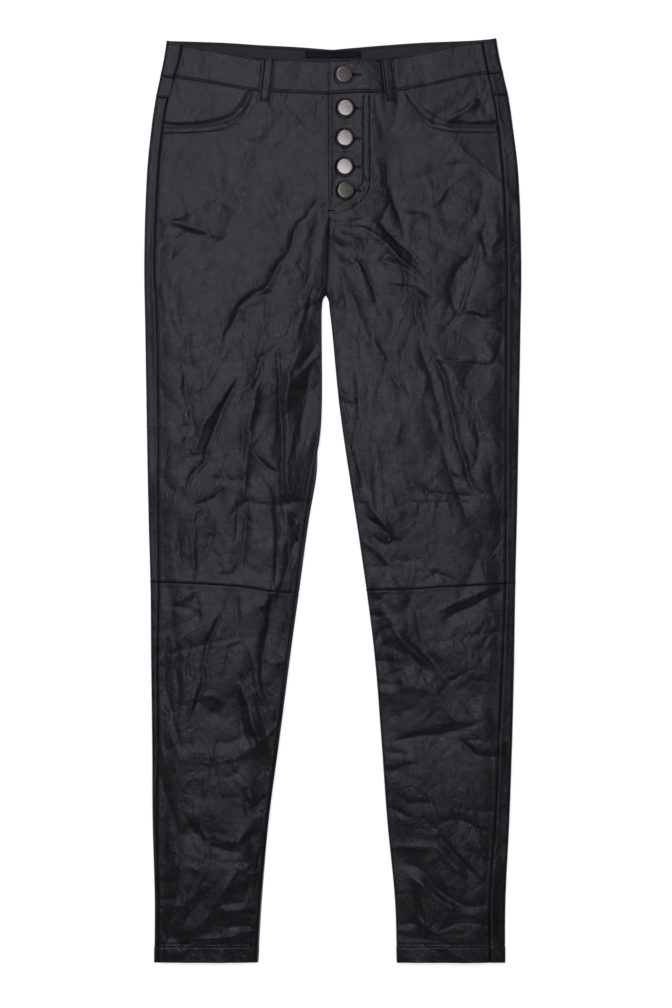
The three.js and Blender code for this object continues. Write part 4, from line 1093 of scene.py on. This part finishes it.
for name, middle in BACK_LOOPS.items():
    side = "right" if middle < 0 else "left"
    top = float(back_top_y(side, abs(middle))) - 1
    grid = loop_grid(top - BAND_HEIGHT - LOOP_BELOW_BAND + 1, top, lambda share: middle + 0 * share,
                     lambda x, y: 0.62 + 0 * x)
    loop = cloth(name.replace("_back_loop", "_loop_behind"), grid, LOOP_THICK, BLACK_LEATHER)
    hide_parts(name)


# Leather behind the two curved pocket mouths, sewn in at the waistband and the side seam. It is
# the same leather as the legs and runs on 10 mm under the front.
POCKET = {
    "right": table(
        "at y", (87.6, 446.4), (93.5, 433.3), (101.4, 422.8), (113.3, 414.8), (130.5, 410.9),
        (153, 409), (186, 408.2)),
    "left": table(
        "at y", (78.5, 447.4), (86.2, 434.7), (97.3, 422.2), (108.4, 415.2), (122.3, 411.1),
        (139, 409.7), (182, 409)),
}
POCKET_UNDERLAP = 10
POCKET_DIP = 1.45
POCKET_STITCHES = (2.5, 8.6)
CORNER_SHARE = 0.45

for side in ("right", "left"):
    fine_at = np.linspace(POCKET[side]["at"][0], POCKET[side]["at"][-1], 400)
    fine_y = curve(POCKET[side], "at", fine_at, "y")
    gone = np.concatenate([[0], np.cumsum(np.hypot(np.diff(fine_at), np.diff(fine_y)))])
    share = np.concatenate([np.linspace(0, 0.96, 72), [0.975, 0.985, 0.993, 1]])
    mouth_at = np.interp(share * gone[-1], gone, fine_at)
    mouth_y = np.interp(share * gone[-1], gone, fine_y) - 4 * (1 - ease(0, 0.1, share))
    seam_reach = lambda y: outer_edge(side, y) - side_seam(side, y) - SEAM_GAP / 2
    corner_y = float(band_seam_y(side, seam_reach(460))) - SEAM_GAP
    corner_at = float(seam_reach(corner_y))
    along_band = np.clip(share / CORNER_SHARE, 0, 1)
    down_seam = np.clip((share - CORNER_SHARE) / (1 - CORNER_SHARE), 0, 1)
    rim_at = mix(POCKET[side]["at"][0], corner_at, along_band)
    rim_y = band_seam_y(side, rim_at) - SEAM_GAP
    low_y = mix(corner_y, POCKET[side]["y"][-1], down_seam)
    rim_at = np.where(share < CORNER_SHARE, rim_at, seam_reach(low_y))
    rim_y = np.where(share < CORNER_SHARE, rim_y, low_y)
    away = np.hypot(mouth_at - corner_at, mouth_y - corner_y)
    under_at = mouth_at + POCKET_UNDERLAP * (mouth_at - corner_at) / away
    under_y = mouth_y + POCKET_UNDERLAP * (mouth_y - corner_y) / away
    under_at = np.minimum(under_at, seam_reach(under_y))
    step = np.concatenate([[0, 0.01, 0.03], np.linspace(0.06, 0.95, 40), [0.97, 0.985, 0.995, 1]])
    at = mix(under_at[:, None], rim_at[:, None], step)
    y = mix(under_y[:, None], rim_y[:, None], step)
    past = np.hypot(at - under_at[:, None], y - under_y[:, None]) - POCKET_UNDERLAP
    x = SIGN[side] * at
    z = front_level(x, y) - POCKET_DIP * (1 - ease(1, 8, past))
    piece = cloth(f"{side}_pocket_backing", np.dstack([x, y, z]), 1.0, BLACK_LEATHER)
    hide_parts(f"{side}_pocket_facing")


# Fly underlap: the strip of the right front that carries on under the left one, with the buttons.
# It is sewn on along the middle and ends a little below the last button.
def underlap_columns(y):
    middle = arc_to_middle("right", y, centre_x(y, CENTRE_FRONT_X)) + SEAM_GAP / 2
    run = middle + stops(0, 39.8, 2.2)
    return run, run


reach, y, lift = panel("right", stops(FLY_END_Y + 2, FRONT_TOP_Y - 1, 2.5), underlap_columns,
                       lambda height, reach, wrap: height)
underlap = cloth("button_strip", laid("right", reach, y, lift), LEATHER, BLACK_LEATHER)
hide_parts("fly_underlap")


# Fronts of the legs: thigh from waistband and pocket mouth to the knee seam, calf from there to
# the hem. The same leather, with every main crease of the laid trousers worked into it.
FLY_LIFT = 1.4
FLY_OVERHANG = 1.15
BUTTONS = range(1, 6)
RING_RADIUS = 9.5
FLY_ROWS_Y = (312, 424)
FLY_COLUMNS = (0.76, 1)


def front_top_y(side, reach, wrap):
    """Top edge of a front thigh: the seam of the waistband, then the pocket mouth."""
    mouth = curve(POCKET[side], "at", reach, "y")
    top = np.where(reach < POCKET[side]["at"][0], band_seam_y(side, reach), mouth)
    return top - SEAM_GAP / 2


def over_fly(x, y):
    """How far the left front stands up over the underlap."""
    return FLY_LIFT * (1 - ease(42, 78, x)) * ease(268, 290, y)


# Middles of the front belt loops at their top and bottom ends
FRONT_LOOPS = {"right": (-69.3, -74), "left": (59.3, 64.3)}


def beside_loop(side, x, y):
    """How deep a belt loop presses the leather on both sides of it."""
    top_x, bottom_x = FRONT_LOOPS[side]
    off = np.abs(x - mix(bottom_x, top_x, np.clip((y - 434) / 47, 0, 1)))
    return 0.6 * ridge(off, 6.7, 1) * ease(429, 434, y)


def button_middle(number):
    """Where the middle of a button is in these tables."""
    low, high = (np.array(corner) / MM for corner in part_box(f"button_{number}"))
    return ((low + high) / 2 - SHIFT / MM)[:2]


def under_button(x, y):
    """How deep the rims of the buttons press a ring into the left front and its waistband."""
    depth = np.zeros_like(x)
    for number in BUTTONS:
        middle = button_middle(number)
        depth += 1.1 * ridge(np.hypot(x - middle[0], y - middle[1]), RING_RADIUS, 1)
    return depth


# The two rows of stitches that hold the fly, from the waistband down and round to the middle
J_LINES = [rounded_way(places, 6) for places in (
    ((33.6, 441), (33.6, 400), (33.6, 352), (30.5, 343), (23.7, 336.2), (14, 326.5), (4, 320.3),
     (0, 319)),
    ((40.6, 441), (40.6, 400), (40.6, 345.8), (35.5, 331), (26.4, 321.8), (15, 315.6), (3.5, 312.5),
     (-2, 311.6)),
)]


for side in ("right", "left"):
    shares, offsets = columns_between(195, 1.72)
    fly_rows = np.arange(*FLY_ROWS_Y, 1.4 if side == "left" else 1.8)
    if side == "left":
        between, beside = (shares[1:] + shares[:-1]) / 2, (offsets[1:] + offsets[:-1]) / 2
        at_fly = (between > FLY_COLUMNS[0]) & (between < FLY_COLUMNS[1])
        at = np.flatnonzero(at_fly) + 1
        shares = np.insert(shares, at, between[at_fly])
        offsets = np.insert(offsets, at, beside[at_fly])
    span = spread_front(side, shares, offsets)
    hang = (lambda y: FLY_OVERHANG * ease(304, 313, y)) if side == "left" else (lambda y: 0)
    rows = np.concatenate([
        KNEE_Y + NEAR_EDGE, np.arange(KNEE_Y + 6, 311, 1.84), fly_rows, np.arange(425.5, 439, 1.25),
        FRONT_TOP_Y - np.array([3.6, 2.8, 2.0, 1.3, 0.7, 0.3, 0])])
    reach, y, lift = panel(
        side, rows, lambda y: span(y, hang(y)), thigh_rows(side, front_top_y))
    x = SIGN[side] * reach
    grid = laid(side, reach, y, lift, over_fly(x, y) if side == "left" else 0)
    below_mouth = from_edges(grid)[3]
    at_mouth = ease(POCKET[side]["at"][0] - 4, POCKET[side]["at"][0] + 4, reach)
    for line in POCKET_STITCHES:
        grid[:, :, 2] -= 0.42 * at_mouth * ridge(below_mouth, line, 0.9)
    grid[:, :, 2] += 0.35 * at_mouth * ridge(below_mouth, 5.5, 3)
    if side == "left":
        grid[:, :, 2] -= under_button(x, y)
        for way in J_LINES:
            grid[:, :, 2] -= 0.5 * ridge(from_way(way, x, y)[0], 0, 0.95)
    grid[:, :, 2] -= beside_loop(side, x, y)
    middle_edge = (0.5, 0.3) if side == "left" else (0.9, 0)
    thigh = cloth(f"{side}_thigh_front", grid, LEATHER, BLACK_LEATHER,
                  (SIDE_EDGE, middle_edge, (0.9, 0.1), (0.25, 0)))
    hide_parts(f"{side}_front_thigh")

    shares, offsets = columns_between(150, 1.75)
    span = spread_front(side, shares, offsets)
    rows = np.concatenate([
        HEM_Y + np.array([0, 0.3, 0.8, 1.6, 3, 5, 7, 9, 11]), [HEM_Y + HEM_ROWS[0], HEM_Y + 14.6],
        HEM_Y + HEM_ROWS[1:], stops(HEM_Y + 19, KNEE_Y, 1.8)])
    reach, y, lift = panel(side, rows, span, calf_rows(side))
    grid = laid(side, reach, y, lift)
    for line in HEM_STITCHES_Y:
        grid[:, :, 2] -= 0.3 * ridge(y, line, 0.8)
    calf = cloth(f"{side}_calf_front", grid, leg_thickness(y), BLACK_LEATHER,
                 (SIDE_EDGE, (1.1, 0.1), (0, 0), (1.4, 0.12)))
    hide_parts(f"{side}_front_calf")


# Front waistband: a folded band of two layers from each side seam to the middle. The right one
# runs on under the left one, which is cut square 4.5 mm past the middle and buttons over it.
BAND_LIFT = 2.5
FRONT_BAND_THICK = 2.2
BAND_ENDS = {"right": -34, "left": -4.5}
BAND_GROOVES = (2.4, 35.4)


def over_band(x):
    """How far the left waistband stands up over the right one."""
    return BAND_LIFT * (1 - ease(35, 82, x))


for side in ("right", "left"):
    shares, offsets = columns_between(190, 1.2)

    def band_columns(y):
        start = side_seam(side, y) + SEAM_GAP / 2
        end = arc_to_middle(side, y, SIGN[side] * BAND_ENDS[side])
        run = mix(start, end, shares) + offsets
        return run, run

    reach, y, lift = panel(side, BAND_ROWS, band_columns, lambda share, reach, wrap: mix(
        band_seam_y(side, reach) + SEAM_GAP / 2, band_top_y(side, reach), share), BAND_Y)
    grid = laid(side, reach, y, lift, over_band(SIGN[side] * reach) if side == "left" else 0)
    for line in BAND_GROOVES:
        grid[:, :, 2] -= 0.6 * ridge(y - band_seam_y(side, reach), line, 0.75)
    grid[:, :, 2] -= beside_loop(side, SIGN[side] * reach, y)
    if side == "left":
        grid[:, :, 2] -= under_button(reach, y)
    band = cloth(f"{side}_front_waistband", grid, FRONT_BAND_THICK, BLACK_LEATHER,
                 (SIDE_EDGE, (0.2, 0), (0.75, 0.35), (0.25, 0)))
    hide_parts(f"{side}_front_band")


# Belt loops of the front: the same folded strips, sewn down at the top edge of the waistband and
# 11 mm below its seam.
for side, (top_x, bottom_x) in FRONT_LOOPS.items():
    seam = float(band_seam_y(side, abs(bottom_x)))

    def level(x, y):
        below = mix(LEATHER, FRONT_BAND_THICK, ease(seam - 8, seam - 2, y)) / 2
        ends = ease(0, 6, np.minimum(y - seam + LOOP_BELOW_BAND, top - y))
        lifted = mix(over_fly(x, y), over_band(x), ease(seam - 8, seam - 2, y)) * (side == "left")
        return front_level(x, y) + lifted + below + 0.9 + 0.35 * ends

    top = float(band_top_y(side, abs(top_x))) - 0.5
    grid = loop_grid(seam - LOOP_BELOW_BAND, top, lambda share: mix(bottom_x, top_x, share), level)
    loop = cloth(f"{side}_front_belt_loop", grid, FRONT_LOOP_THICK, BLACK_LEATHER)
    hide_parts(f"{side}_front_loop")


# Buttons: steel shank buttons 17.4 mm across, brushed, nearly flat on top and rounded at the rim,
# the first on the waistband and four down the fly. Each stands through its buttonhole, a little
# askew.
BUTTON_PROFILE = table(
    "radius height", (0, 0), (4, 0), (4, 1.2), (7.4, 1.25), (8.3, 1.5), (8.62, 1.9), (8.7, 2.35),
    (8.68, 2.9), (8.6, 3.35), (8.45, 3.7), (8.2, 3.92), (7.85, 4.03), (7.3, 4.07), (6.6, 4.09),
    (5.6, 4.12), (4.4, 4.14), (3, 4.17), (1.0, 4.19), (0, 4.2))
BUTTON_TILTS = ((-0.11, 0.03), (0.02, 0.03), (0.01, 0.035), (0.02, 0.04), (-0.12, 0.03))
TURNS = 72

steel = Paint("button_metal")
brushed = steel.noise(steel.scaled(steel.place, (60, 2600, 60)), 1, 3)
tarnish = steel.noise(steel.place, 240, 3)
steel_shade = steel.blend(brushed * 0.6 + tarnish * 0.4, (0.115, 0.11, 0.093), (0.225, 0.213, 0.18))
BUTTON_METAL = steel.surface({"Base Color": steel_shade, "Metallic": 1.0,
                              "Roughness": 0.2 + 0.14 * brushed,
                              "Normal": steel.bump(brushed, 0.25, 0.00006)})

for number in BUTTONS:
    low, high = (np.array(corner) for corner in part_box(f"button_{number}"))
    centre = (low + high) / 2
    angles = np.arange(TURNS) * 2 * math.pi / TURNS
    tilt_x, tilt_y = BUTTON_TILTS[number - 1]
    radii, heights = BUTTON_PROFILE["radius"][1:-1], BUTTON_PROFILE["height"][1:-1]
    rings = np.stack([
        centre[0] + np.outer(radii, np.cos(angles)) * MM,
        centre[1] + np.outer(radii, np.sin(angles)) * MM,
        low[2] + (heights[:, None] + (heights[:, None] > 2) * np.outer(
            radii, tilt_x * np.cos(angles) + tilt_y * np.sin(angles))) * MM], 2).reshape(-1, 3)
    points = np.vstack([rings, [centre[0], centre[1], low[2]],
                        [centre[0], centre[1], low[2] + BUTTON_PROFILE["height"][-1] * MM]])
    index = np.arange(len(rings)).reshape(-1, TURNS)
    after = np.roll(index, -1, 1)
    faces = np.stack([index[:-1], after[:-1], after[1:], index[1:]], 2).reshape(-1, 4).tolist()
    foot, crown = len(rings), len(rings) + 1
    faces += [(int(after[0, k]), int(index[0, k]), foot) for k in range(TURNS)]
    faces += [(int(index[-1, k]), int(after[-1, k]), crown) for k in range(TURNS)]
    button = solid(f"shank_button_{number}", points, faces, BUTTON_METAL)
    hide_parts(f"button_{number}")


# Sewing in dull black thread: lockstitch 2.5 mm long beside every edge and seam, bar tacks where
# a piece is under strain, and close stitches round the keyhole buttonholes.
STITCH = 2.5
STITCH_GAP = 0.75
BAND_INSET = 2.4
YOKE_INSET = 2.3
BAND_SEWN_FROM = {"right": 6.5, "left": -2.1}
BACK_SEWN_Y = 470
CLOSE_GAP = 0.55
THREAD = 0.43

thread = Paint("black_thread")
ply = thread.node("TexWave", {"bands_direction": "DIAGONAL"},
                  {"Vector": thread.place, "Scale": 900})
dye = thread.noise(thread.place, 200, 2)
thread_shade = thread.blend(ply * 0.5 + dye * 0.5, (0.0015, 0.0015, 0.002), (0.005, 0.005, 0.006))
BLACK_THREAD = thread.surface({"Base Color": thread_shade, "Roughness": 0.5 + 0.1 * dye,
                               "Specular IOR Level": 0.08,
                               "Normal": thread.bump(ply, 0.5, 0.00008)})


def spaced(places, pitch=STITCH + STITCH_GAP, length=STITCH):
    """Ends of even stitches along a line."""
    way = np.array(places, float)
    gone = np.concatenate([[0], np.cumsum(np.hypot(*np.diff(way, axis=0).T))])
    starts = np.arange(0.3, gone[-1] - length, pitch)
    at = lambda s: np.stack([np.interp(s, gone, way[:, 0]), np.interp(s, gone, way[:, 1])], 1)
    return np.concatenate([at(starts), at(starts + length)], 1)


def bar_tack(x, y, angle, length, width):
    """Close stitches side by side along a short bar."""
    along = np.arange(0, length, CLOSE_GAP) - length / 2
    way, over = (math.cos(angle), math.sin(angle)), (-math.sin(angle), math.cos(angle))
    middle = np.stack([x + along * way[0], y + along * way[1]], 1)
    side_step = np.array(over) * width / 2
    return np.concatenate([middle - side_step, middle + side_step], 1)


def line(xs, ys):
    xs, ys = np.broadcast_arrays(np.asarray(xs, float), ys)
    return np.stack([xs, ys], 1)


# Ring by ring along a stitch: its share of the way, how high it lies and how thick it is
STITCH_RINGS = ((0, -0.9, 0.45), (0.22, -0.1, 0.95), (0.5, 0.1, 1), (0.78, -0.1, 0.95),
                (1, -0.9, 0.45))
STITCH_SIDES = 6
STEEPEST = 1.2
RAY_START = 0.05
RAY_STEP = 0.0001


def surface_at(depth, x, y, up):
    """First place on the cloth from above, or from below with up at -1, seen through buttons."""
    start = Vector((*(np.array([x, y]) * MM + SHIFT[:2]), up * RAY_START))
    while True:
        hit, place, _, _, body, _ = bpy.context.scene.ray_cast(depth, start, (0, 0, -up))
        if not hit or not body.name.startswith("shank_button"):
            return np.array(place) if hit else None
        start = place - Vector((0, 0, up * RAY_STEP))


def sewn(lines, xs, ys, *spacing):
    """Adds a row of stitches through the places."""
    lines.append(spaced(line(xs, ys), *spacing))


def sew(name, stitches, from_below=False, radius=THREAD):
    """Joined mesh of stitches that lie on whatever surface is there. A stitch that would hang
    over a step or past an edge is left out."""
    angles = np.arange(STITCH_SIDES) * 2 * math.pi / STITCH_SIDES
    up = -1 if from_below else 1
    depth = bpy.context.evaluated_depsgraph_get()
    points, faces = [], []
    for x1, y1, x2, y2 in np.concatenate(stitches):
        places = [surface_at(depth, mix(x1, x2, share), mix(y1, y2, share), up)
                  for share, _, _ in STITCH_RINGS]
        if any(place is None for place in places) or np.ptp(np.array(places)[:, 2]) > STEEPEST * MM:
            continue
        way = places[-1] - places[0]
        way /= np.linalg.norm(way)
        aside = np.cross(way, (0, 0, 1))
        aside /= np.linalg.norm(aside)
        over = np.cross(aside, way)
        over *= np.sign(over[2]) * up
        first = len(points)
        for place, (_, lower, size) in zip(places, STITCH_RINGS):
            for angle in angles:
                points.append(place + MM * (
                    over * (lower * radius + size * radius * math.sin(angle))
                    + aside * (size * radius) * math.cos(angle)))
        last = len(points) - STITCH_SIDES
        for ring in range(first, last, STITCH_SIDES):
            for s in range(STITCH_SIDES):
                a, b = ring + s, ring + (s + 1) % STITCH_SIDES
                faces.append((a, b, b + STITCH_SIDES, a + STITCH_SIDES))
        faces.append(tuple(range(first + STITCH_SIDES - 1, first - 1, -1)))
        faces.append(tuple(range(last, last + STITCH_SIDES)))
    solid(name, points, faces, BLACK_THREAD)


bpy.context.view_layer.update()

pocket_lines, band_lines, hem_lines, under_lines = [], [], [], []
for side, sign in SIGN.items():
    at = np.linspace(POCKET[side]["at"][0], POCKET[side]["at"][-1] + 1, 120)
    mouth = np.stack([at, curve(POCKET[side], "at", at, "y")], 1)
    way = np.gradient(mouth, axis=0)
    across = np.stack([way[:, 1], -way[:, 0]], 1) / np.linalg.norm(way, axis=1, keepdims=True)
    across *= -np.sign(across[:, 1:])
    for inset in POCKET_STITCHES:
        run = mouth + across * inset
        run = run[(run[:, 1] < band_seam_y(side, run[:, 0]) - 1.5)
                  & (run[:, 0] < outer_edge(side, run[:, 1]) - side_seam(side, run[:, 1]) - 1)]
        pocket_lines.append(spaced(run * (sign, 1)))
    seam_reach = float(outer_edge(side, BAND_Y) - side_seam(side, BAND_Y)) - 1
    tip = float(outer_edge(side, BAND_Y)) - 1.5
    reach = np.linspace(BAND_SEWN_FROM[side], seam_reach, 60)
    sewn(band_lines, sign * reach, band_top_y(side, reach) - BAND_INSET)
    sewn(band_lines, sign * reach, band_seam_y(side, reach) + BAND_INSET)
    reach = np.linspace(seam_reach + 2, tip, 12)
    wrap = (tip + 1.5 - reach) / (tip + 0.5 - seam_reach)
    for depth, inset in ((0, -BAND_INSET), (BAND_HEIGHT, BAND_INSET)):
        sewn(band_lines, sign * reach, back_band_y(side, reach, wrap, depth) + inset)
    yoke_reach = float(outer_edge(side, YOKE_EDGE_Y))
    reach = np.linspace(yoke_reach - float(side_seam(side, YOKE_EDGE_Y)) + 1, yoke_reach - 2, 8)
    sewn(band_lines, sign * reach, YOKE_SIDE_Y[side] + YOKE_INSET)
    top_x, bottom_x = FRONT_LOOPS[side]
    low = float(band_seam_y(side, abs(bottom_x))) - LOOP_BELOW_BAND + 1
    high = float(band_top_y(side, abs(top_x))) - 1.5
    for step in LOOP_STITCHES:
        sewn(band_lines, [bottom_x + step, top_x + step], [low, high])
    band_lines.append(bar_tack(bottom_x, low + 1.2, 0, 9.5, 1.8))
    for y in HEM_STITCHES_Y:
        ends = np.array([inner_edge(side, y) + 1.6, outer_edge(side, y) - 1.6])
        for lines in (hem_lines, under_lines):
            sewn(lines, sign * ends, y)
    reach = np.linspace(4, float(outer_edge(side, BACK_SEWN_Y)) - 3, 60)
    for drop in (BAND_INSET, BAND_HEIGHT - BAND_INSET):
        sewn(under_lines, sign * reach, back_top_y(side, reach) - drop)
    reach = np.linspace(1, yoke_reach - 3, 60)
    sewn(under_lines, sign * reach, yoke_seam_y(side, reach) + YOKE_INSET)

sewn(band_lines, -0.9, np.linspace(320, 440, 30))
sewn(band_lines, -2.1, [447, 477.5])
fly_lines = [spaced(way) for way in J_LINES]
fly_lines.append(bar_tack(-1.2, 315.4, 0, 8, 2.0))
fly_lines.append(bar_tack(35.5, 352, math.pi / 2 + 0.3, 6, 1.8))

across = np.linspace(-166, 166, 120)
lining_top = either(across, back_top_y, np.abs(across)) - LINING_DROP
sewn(band_lines, across, lining_top - BAND_INSET)
for end in (-28.9, 28.9):
    sewn(band_lines, LABEL["x"] + end, [LABEL["y"] - 3.4, LABEL["y"] + 3.4], 1.5, 1.1)
for name, middle in BACK_LOOPS.items():
    low, high = (np.array(corner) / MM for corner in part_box(name))
    for step in LOOP_STITCHES:
        sewn(under_lines, middle + step, [low[1] + 1.5, high[1] - 1.5])
    under_lines.append(bar_tack(middle, low[1] + 2.2, 0, 9.5, 1.8))

sew("pocket_stitching", pocket_lines)
sew("waistband_stitching", band_lines)
sew("hem_stitching", hem_lines)
sew("fly_stitching", fly_lines, radius=0.55)
sew("back_stitching", under_lines, from_below=True)


# Keyhole buttonholes: level slits from each button out to the right, bound with close stitches.
# A dark line of thread pieces lies along each slit as painted shade of the cut, and all of it is
# sewn on to whatever lies below.
BUTTONHOLE_END_X = 29
BUTTONHOLE_START = 7.5
HALF_SLIT = 0.45
BINDING = 1.5
SLIT_SHADE_PIECE = 1.6
holes, slit_shade = [], []
for number in BUTTONS:
    x, y = button_middle(number)
    xs = np.arange(x + BUTTONHOLE_START, BUTTONHOLE_END_X, CLOSE_GAP)
    # Dark thread laid end to end along the slit: painted shade of the cut
    sewn(slit_shade, [x + BUTTONHOLE_START, BUTTONHOLE_END_X + 0.8], y, SLIT_SHADE_PIECE, SLIT_SHADE_PIECE)
    for way in (-1, 1):
        ys = y + way * HALF_SLIT + 0 * xs
        holes.append(np.stack([xs, ys, xs, ys + way * BINDING], 1))
    turn = np.linspace(-1.2, 1.2, 9)
    ring = np.stack([np.cos(turn), np.sin(turn)], 1)
    tip = np.array([BUTTONHOLE_END_X, y])
    holes.append(np.concatenate([tip + 0.5 * ring, tip + 2.0 * ring], 1))
sew("buttonhole_stitching", holes, radius=0.3)
# Dark pieces along the slits: painted shade
sew("buttonhole_slit_shade", slit_shade, radius=0.5)


# Floor, lights and camera: a pale sweep of paper, soft lights overhead and beyond the waist, weak
# ones low on the other three sides, and the camera straight above as in the photo.
FLOOR_SIZE = 12
bpy.ops.mesh.primitive_plane_add(size=FLOOR_SIZE, location=(0, 0, 0))
floor = bpy.context.object
floor.name = "floor"
paper = Paint("pale_paper")
paper_shade = paper.blend(paper.noise(paper.place, 300, 4), (0.93,) * 3, (0.97,) * 3)
floor.data.materials.append(paper.surface({
    "Base Color": paper_shade, "Roughness": 0.9, "Emission Color": (1, 1, 1, 1),
    "Emission Strength": 0.52}))


# Name, place, target, width, length and power of each light
LIGHTS = (
    ("waist_light", (-0.45, 1.8, 2.9), (0, 0.2, 0), 1.1, 1.3, 25),
    ("overhead_light", (-0.15, 0.12, 3.6), (0, 0, 0), 0.8, 1.45, 20),
    ("strip_light", (-0.72, 0.3, 3.5), (0, 0, 0), 0.22, 1.2, 10),
    ("right_light", (-2.3, 0.3, 1.1), (0, 0, 0), 0.8, 2.2, 9),
    ("left_light", (2.3, 0.3, 1.1), (0, 0, 0), 0.8, 2.2, 5),
    ("hem_light", (0.2, -2.6, 1.3), (0, 0, 0), 2.4, 1.2, 9),
)
LIGHT_COLOUR = (0.88, 0.87, 1.0)
for name, place, target, width, length, power in LIGHTS:
    lamp = bpy.data.lights.new(name, "AREA")
    lamp.shape = "RECTANGLE"
    lamp.size, lamp.size_y = width, length
    lamp.energy = power
    lamp.color = LIGHT_COLOUR
    stand = bpy.data.objects.new(name, lamp)
    stand.location = place
    stand.rotation_euler = (Vector(target) - Vector(place)).to_track_quat("-Z", "Y").to_euler()
    bpy.context.scene.collection.objects.link(stand)
world = bpy.data.worlds.new("studio")
bpy.context.scene.world = world
world.use_nodes = True
daylight = world.node_tree.nodes["Background"].inputs
daylight["Color"].default_value = (1, 1, 1, 1)
daylight["Strength"].default_value = 0.13

lens = bpy.data.cameras.new("camera")
lens.sensor_fit = "VERTICAL"
lens.sensor_height = 36
lens.lens = 85
camera = bpy.data.objects.new("camera", lens)
PICTURE_HEIGHT = 1.0987
PICTURE_MIDDLE = np.array([0.00354, -0.00409, 0.006])
distance = PICTURE_HEIGHT * lens.lens / lens.sensor_height
camera.location = PICTURE_MIDDLE + (SHIFT[0], SHIFT[1], distance)
bpy.context.scene.collection.objects.link(camera)
bpy.context.scene.camera = camera
bpy.context.scene.view_settings.view_transform = "Standard"
